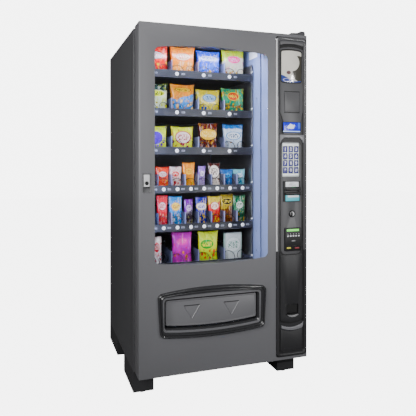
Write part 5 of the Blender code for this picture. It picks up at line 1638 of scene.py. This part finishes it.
class Packets:
    """Blows up the packets' films once, then stands rows of them in the spirals."""

    depth = 1
    seal = 0.06
    steps = 20
    pull_in = 1.7
    droop = 0.10
    room_below, room_added = 0.0088, 0.0250
    room_from, room_rise = 0.022, 0.060

    def __init__(self, seed: int = 41) -> None:
        """Blows up one packet of each form, before anything else is in the scene.

        Args:
            seed: Start of the random turns.
        """
        self.random = random.Random(seed)
        self.bases = {form: self._carton(form) if form is Form.CARTON else self._pouch(form) for form in Form}

    def _carton(self, form: Form) -> bpy.types.Mesh:
        """A folded carton with rounded edges.

        Args:
            form: Its form.

        Returns:
            Its mesh, with the print's coordinates.
        """
        bm = bmesh.new()
        width, height = form.value[:2]
        bmesh.ops.create_cube(bm, size=1.0, matrix=Matrix.Diagonal((width, 0.018, height, 1.0)))
        round_off(bm, bm.edges[:], 0.0016, 2)
        return self._printed(bm, form)

    def _pouch(self, form: Form) -> bpy.types.Mesh:
        """A film packet, flat at first and then blown up between its two seals.

        Args:
            form: Its form.

        Returns:
            Its mesh, with the print's coordinates.
        """
        width, height, columns, rows, thickness = form.value
        bm = bmesh.new()
        for side in (-1, 1):
            place = Matrix.Translation((0, side * 0.0006, 0)) @ Matrix.Rotation(TURN / 4, 4, "X")
            place = place @ Matrix.Diagonal((width / 2, height / 2, 1.0, 1.0))
            bmesh.ops.create_grid(bm, x_segments=columns, y_segments=rows, size=1.0, matrix=place)
        bmesh.ops.bridge_loops(bm, edges=[e for e in bm.edges if e.is_boundary])
        bmesh.ops.recalc_face_normals(bm, faces=bm.faces[:])
        mesh = self._printed(bm, form)
        mesh = self._blown(mesh, form)
        reach = max(abs(vert.co.y) for vert in mesh.vertices)
        for vert in mesh.vertices:
            vert.co.y *= thickness / 2 / reach
            up, across = min(max(vert.co.z / height + 0.5, 0.0), 1.0), 2 * vert.co.x / width
            vert.co.x *= 1.0 - self.pull_in * thickness * math.sin(math.pi * up) ** 0.7
            vert.co.z -= self.droop * thickness * (1.0 - across**2) * max(0.0, 2 * up - 1.0)
        self._fit_between_turns(mesh, height)
        return mesh

    def _printed(self, bm: bmesh.types.BMesh, form: Form) -> bpy.types.Mesh:
        """Gives a flat packet the coordinates of its print, and makes it a mesh.

        Args:
            bm: The packet, which is freed.
            form: Its form.

        Returns:
            The mesh.
        """
        width, height = form.value[:2]
        flat = bm.loops.layers.uv.new("UVMap")
        for face in bm.faces:
            face.smooth = True
            for loop in face.loops:
                loop[flat].uv = (loop.vert.co.x / width + 0.5, loop.vert.co.z / height + 0.5)
        mesh = bpy.data.meshes.new(form.name.lower())
        bm.to_mesh(mesh)
        bm.free()
        return mesh

    def _blown(self, mesh: bpy.types.Mesh, form: Form) -> bpy.types.Mesh:
        """Runs the cloth simulation on a flat packet.

        Args:
            mesh: The flat packet.
            form: Its form.

        Returns:
            The mesh of its last step.
        """
        height = form.value[1]
        packet = bpy.data.objects.new(mesh.name, mesh)
        bpy.context.scene.collection.objects.link(packet)
        held = packet.vertex_groups.new(name="seals")
        held.add([v.index for v in mesh.vertices if abs(v.co.z) > height * (0.5 - self.seal)], 1.0, "REPLACE")
        cloth = packet.modifiers.new("Film", "CLOTH")
        rules = cloth.settings
        rules.quality, rules.mass, rules.air_damping = 8, 0.02, 2.0
        rules.tension_stiffness = rules.compression_stiffness = 25.0
        rules.shear_stiffness, rules.bending_stiffness = 8.0, 0.05
        rules.vertex_group_mass, rules.use_pressure, rules.uniform_pressure_force = held.name, True, 14.0
        rules.effector_weights.gravity = 0.0
        scene = bpy.context.scene
        cloth.point_cache.frame_start, cloth.point_cache.frame_end = 1, self.steps
        for step in range(1, self.steps + 1):
            scene.frame_set(step)
        blown = bpy.data.meshes.new_from_object(packet.evaluated_get(bpy.context.evaluated_depsgraph_get()))
        LOG.info("%s swelled to %.3f m thick", form.name, max(abs(v.co.y) for v in blown.vertices) * 2)
        scene.frame_set(1)
        bpy.data.objects.remove(packet)
        return blown

    def _fit_between_turns(self, mesh: bpy.types.Mesh, height: float) -> None:
        """Presses a packet's belly to the room that the spiral's turns leave it.

        Args:
            mesh: The packet, upright about its middle.
            height: Its height.
        """
        for vert in mesh.vertices:
            up = vert.co.z + height / 2
            share = min(max((up - self.room_from) / self.room_rise, 0.0), 1.0)
            room = self.room_below + self.room_added * share
            vert.co.y = room * math.tanh(vert.co.y / room)

    def stock(self, tray: Tray, column: int, product: Product) -> None:
        """Stands a row of one product in a column.

        Args:
            tray: The tray.
            column: The column's number, from the left and from zero.
            product: What it holds.
        """
        base, height = self.bases[product.form], product.form.value[1] * product.height
        whole = bmesh.new()
        for place in range(1, self.depth + 1):
            turn = math.radians(self.random.uniform(-5.0, 5.0))
            lean = math.radians(self.random.uniform(-2.0, 3.0))
            foot = at(tray.middle(column), tray.coil_front + place * tray.coil_pitch, tray.base + 0.0072)
            spot = Matrix.Translation(foot) @ Matrix.Rotation(turn, 4, "Z") @ Matrix.Rotation(lean, 4, "X")
            sizes = (product.width, 1.0, product.height, 1.0)
            spot = spot @ Matrix.Translation((0, 0, height / 2)) @ Matrix.Diagonal(sizes)
            copy = base.copy()
            copy.transform(spot)
            whole.from_mesh(copy)
            bpy.data.meshes.remove(copy)
        shape = Shape()
        shape.bm.free()
        shape.bm = whole
        shape.finish(f"{tray.node}_packets_{column + 1}", tray.node, [product.film], crease=60.0)


def packet(form: Form, name: str, shades: str, sizes: Point2 = (1.0, 1.0),
           **prints: float | Point2) -> Product:
    """One product.

    Args:
        form: The packet's form.
        name: Its film's name.
        shades: Its film's ground, lower ground, badge, rim, ink and snack colours; the last is optional.
        sizes: Its width and height beside the form's.
        **prints: How its print differs from a plain one.

    Returns:
        The product.
    """
    return Product(form, Film(name, *shades.split(), **prints), *sizes)


STOCK: dict[int, tuple[Product, ...]] = {
    1: (
        packet(Form.PILLOW, "red crisps", "d3262c d8383a f6f2ee b01820 c02028 f0c060", snacks=0.42),
        packet(Form.PILLOW, "peach crisps", "f2a884 f5c9ae f8e8d8 d8502c c84830 f0b070"),
        packet(Form.PILLOW, "blue crisps", "2346c0 3460dc f4f4f8 2346c0 2040a8 f3dca0", (1.0, 0.93),
               middle=(0.5, 0.72), reach=(0.38, 0.10)),
        packet(Form.PILLOW, "lime crisps", "b8d235 eceadc e87aa0 f0f0e0 ffffff ecd9a8", (0.97, 1.03),
               split=0.62, snacks=0.30),
    ),
    2: (
        packet(Form.PILLOW, "green crisps", "2e3a34 e9efd8 e4ea80 f4f6e4 3a4a30 c8d080", split=0.60,
               reach=(0.36, 0.11)),
        packet(Form.PILLOW, "orange crisps", "e8872a 3f8fe0 e8c060 6a4a20 4a3a20 f6e6c8", split=0.55,
               middle=(0.5, 0.82), reach=(0.32, 0.07), snacks=0.52),
        packet(Form.PILLOW, "yellow crisps", "e0cc28 e8d848 c8dcee 5a7aa8 506890 2c4cae", (1.03, 0.86),
               middle=(0.52, 0.66), reach=(0.27, 0.15), snacks=0.36),
        packet(Form.PILLOW, "emerald crisps", "12966a 0f8a60 e0524a e8d860 f4e8a0 e2d47c", (0.97, 0.95),
               middle=(0.5, 0.70), reach=(0.24, 0.15), snacks=0.32),
    ),
    3: (
        packet(Form.PILLOW, "lime sweets", "dff04e e6f46c 6a4cc0 eef8c0 5a38b0 7c58c8", (0.93, 0.84),
               middle=(0.5, 0.52), reach=(0.30, 0.26)),
        packet(Form.PILLOW, "cherry sweets", "dff04e e6f46c f0e4e0 b03048 a01c38 a82840", (0.91, 0.83),
               middle=(0.5, 0.56), reach=(0.34, 0.24), snacks=0.5),
        packet(Form.POUCH, "brown pouch", "5a2c2c 4a2228 e8b848 3a1c20 f4e4c0 b87850", split=0.3,
               middle=(0.5, 0.60), reach=(0.46, 0.20), snacks=0.34),
        packet(Form.POUCH, "white pouch", "2f74c8 dfe6ee eef2f6 7ca0c8 38506e c8d4e0", (1.1, 0.97),
               split=0.84, tilt=0.0, middle=(0.5, 0.58), reach=(0.34, 0.14)),
    ),
    4: (
        packet(Form.SHORT, "red sweets", "d8342c dc4a38 f4f0ec b02820 c83028", (1.02, 1.03)),
        packet(Form.SHORT, "red stripe sweets", "d8342c dc4a38 f4f0ec b02820 c83028", (1.02, 1.03)),
        packet(Form.SHORT, "white sweets", "ece6e4 e6dad8 d83c40 f0e8e4 f8f0ec c83038", (0.92, 1.04)),
        packet(Form.BAR, "orange bar", "f08a18 f29a2c f8c020 c85010 c05010 d8b020", (1.06, 0.90)),
        packet(Form.BAR, "lilac roll", "b9a6d8 cfc4e4 f0ecf6 6a50a0 604898 a08cc8", (0.62, 0.78)),
        packet(Form.BAR, "brown bar", "4a2c2a efe8e2 f6f0ea 4a2c2a 4a2420 6a4438", (1.08, 0.88), split=0.5,
               reach=(0.40, 0.26)),
        packet(Form.SHORT, "blue sachet", "3566b4 2c58a4 7fb0e0 234a90 20407c 5a90d0", (1.0, 0.90)),
        packet(Form.SHORT, "teal sachet", "9fc4c8 8fb6bc dce8ea 5088b0 3c6c9c 5c8cc0", (0.98, 0.90)),
    ),
    5: (
        packet(Form.BAR, "blue bar", "2a64c4 2858b0 e8eef8 1c4490 1c3c80", (1.05, 1.0)),
        packet(Form.BAR, "red bar", "d83040 cc2838 f4e8e8 a01828 b82030 f0c8c0", (0.92, 1.07)),
        packet(Form.BAR, "sky bar", "3f92dc 3a86d0 f0e0b0 e0a050 b06828 d8e6f4", (1.14, 1.02)),
        packet(Form.BAR, "violet bar", "7c4a98 3a3438 d8c8e4 50306c 4a2c64 a0a890", (0.76, 0.92),
               split=0.52),
        packet(Form.BAR, "indigo bar", "3038a0 2c3490 f0e8f0 e0c838 3038a0 ecd038", (0.98, 0.98),
               split=0.72, reach=(0.44, 0.12)),
        packet(Form.BAR, "scarlet bar", "dcc83c d02c34 f4ece0 b02028 c02830 f0d038", (1.12, 1.0),
               split=0.78),
        packet(Form.BAR, "gold bar", "b09a3c 6a4434 2c2824 e0cc70 e8d898 a87058", (1.14, 1.06), split=0.55,
               middle=(0.5, 0.76), reach=(0.42, 0.10)),
        packet(Form.BAR, "forest bar", "2c7048 2a5c40 dce4dc 245038 405848 a88c48", (1.14, 1.01),
               split=0.5),
    ),
    6: (
        packet(Form.CARTON, "white carton", "eee8e6 f2eeec c82838 f0e0e0 f4ecec d8a0a4", (0.60, 0.97),
               middle=(0.62, 0.62), reach=(0.24, 0.18), snacks=0.3),
        packet(Form.TALL, "magenta pouch", "b82cb0 a826a4 e89cc8 d060b8 f0b0d0 f0a060", (0.98, 1.0),
               middle=(0.5, 0.70), reach=(0.28, 0.12)),
        packet(Form.TALL, "lime pouch", "c8dc28 b4d020 30a040 d8e830 f0e020 e8583c", (1.0, 1.0), split=0.16,
               middle=(0.42, 0.58), reach=(0.34, 0.16), snacks=0.42),
        packet(Form.CARTON, "green carton", "dde2e4 e6eaec f0f4f4 d0d8d8 1c7858 c8d4d4", (1.0, 1.0),
               middle=(0.5, 0.55), reach=(0.40, 0.26), snacks=0.0),
    ),
}


# --- Studio ----------------------------------------------------------------
@dataclass(frozen=True)
class Lamp:
    """One area light: where it stands and points, its height, power and colour, its width, and its angle."""

    name: str
    place: Point3
    target: Point3
    size: float
    power: float
    shade: str = "ffffff"
    narrow: float | None = None
    spread: float = 180.0

    def build(self) -> None:
        """Puts the light in the scene."""
        lamp = bpy.data.lights.new(self.name, "AREA")
        lamp.energy, lamp.color = self.power, tint(self.shade)[:3]
        lamp.size, lamp.spread = self.size, math.radians(self.spread)
        if self.narrow:
            lamp.shape, lamp.size, lamp.size_y = "RECTANGLE", self.narrow, self.size
        thing = bpy.data.objects.new(self.name, lamp)
        bpy.context.scene.collection.objects.link(thing)
        thing.location = self.place
        thing.rotation_euler = (Vector(self.target) - Vector(self.place)).to_track_quat("-Z", "Y").to_euler()


@dataclass(frozen=True)
class Studio:
    """A plain pale room, its lights, and the camera."""

    camera_at: Point3 = (-0.9187, -2.5817, 1.1754)
    yaw: float = 0.3021
    lens: float = 40.3
    shift: Point2 = (0.067, -0.117)
    paleness: float = 6.0
    ambient: float = 0.12
    lamps: tuple[Lamp, ...] = (
        Lamp("key", (-1.5, -2.6, 1.8), (0.0, -0.43, 1.25), 1.1, 14.5, spread=80.0),
        Lamp("side strip", (1.61, -2.9, 1.25), (0.24, -0.43, 1.2), 1.0, 34.0, narrow=0.14),
        Lamp("top lamp", (-0.08, -0.29, 1.785), (-0.08, -0.20, 1.2), 0.06, 8.0, "d8e2ff", 0.5),
        Lamp("left strip", (-3.1, -2.0, 2.1), (-0.2, -0.2, 1.6), 1.4, 50.0, narrow=0.45),
        Lamp("overhead", (-0.1, -1.7, 3.0), (0.0, -0.43, 0.5), 0.5, 8.0, narrow=1.0),
    )

    def build(self) -> None:
        """Sets up the floor, the surroundings, the lights and the camera."""
        self._add_floor()
        self._add_surroundings()
        jamb = Span.of("lamp_strip").centre
        inner_lamp = Lamp("inner lamp", (jamb.x + 0.03, jamb.y + 0.03, jamb.z), (0.245, -0.1, 1.2), 0.9, 5.5,
                          "c8d6ff", 0.03)
        for lamp in (*self.lamps[:2], inner_lamp, *self.lamps[2:]):
            lamp.build()
        camera = bpy.data.cameras.new("view")
        eye = bpy.data.objects.new("view", camera)
        bpy.context.scene.collection.objects.link(eye)
        eye.location, eye.rotation_euler = self.camera_at, (TURN / 4, 0.0, -self.yaw)
        camera.lens, camera.sensor_width = self.lens, 36.0
        camera.shift_x, camera.shift_y = self.shift
        bpy.context.scene.camera = eye

    def _add_surroundings(self) -> None:
        """A white backdrop that lights the machine only a little."""
        world = bpy.data.worlds.new("studio")
        bpy.context.scene.world = world
        world.use_nodes = True
        nodes = Nodes(world.node_tree)
        seen = nodes.add("LightPath").outputs["Is Camera Ray"]
        backdrop = world.node_tree.nodes["Background"]
        nodes.feed(backdrop.inputs["Color"], (1.0, 1.0, 1.0, 1.0))
        strength = nodes.math("MULTIPLY_ADD", seen, self.paleness - self.ambient, self.ambient)
        nodes.feed(backdrop.inputs["Strength"], strength)

    def _add_floor(self) -> None:
        """The pale floor."""
        mesh = bpy.data.meshes.new("floor")
        bm = bmesh.new()
        bmesh.ops.create_grid(bm, x_segments=1, y_segments=1, size=12.0)
        bm.to_mesh(mesh)
        bm.free()
        floor = bpy.data.objects.new("floor", mesh)
        bpy.context.scene.collection.objects.link(floor)
        made, nodes, shader = fresh_material("floor")
        drift = nodes.use(STORE.effects.drift, {"Color": tint("686868"), "Spread": 0.01})
        nodes.feed(shader.inputs["Base Color"], drift.outputs["Color"])
        nodes.feed(shader.inputs["Emission Color"], (1.0, 1.0, 1.0, 1.0))
        seen = nodes.add("LightPath").outputs["Is Camera Ray"]
        nodes.feed(shader.inputs["Emission Strength"], nodes.math("MULTIPLY", seen, self.paleness * 0.95))
        shader.inputs["Roughness"].default_value = 0.9
        mesh.materials.append(made)


def main() -> None:
    """Builds every sub-assembly round the frame."""
    logging.basicConfig(level=logging.INFO, format="%(name)s: %(message)s")
    packets = Packets()
    Cabinet().build()
    Door().build()
    ControlPanel().build()
    DeliveryBin().build()
    for number, columns in enumerate((4, 4, 4, 8, 8, 4), 1):
        tray = Tray(number, columns)
        tray.build()
        for column, product in enumerate(STOCK[number]):
            packets.stock(tray, column, product)
    Studio().build()


if __name__ == "__main__":
    main()
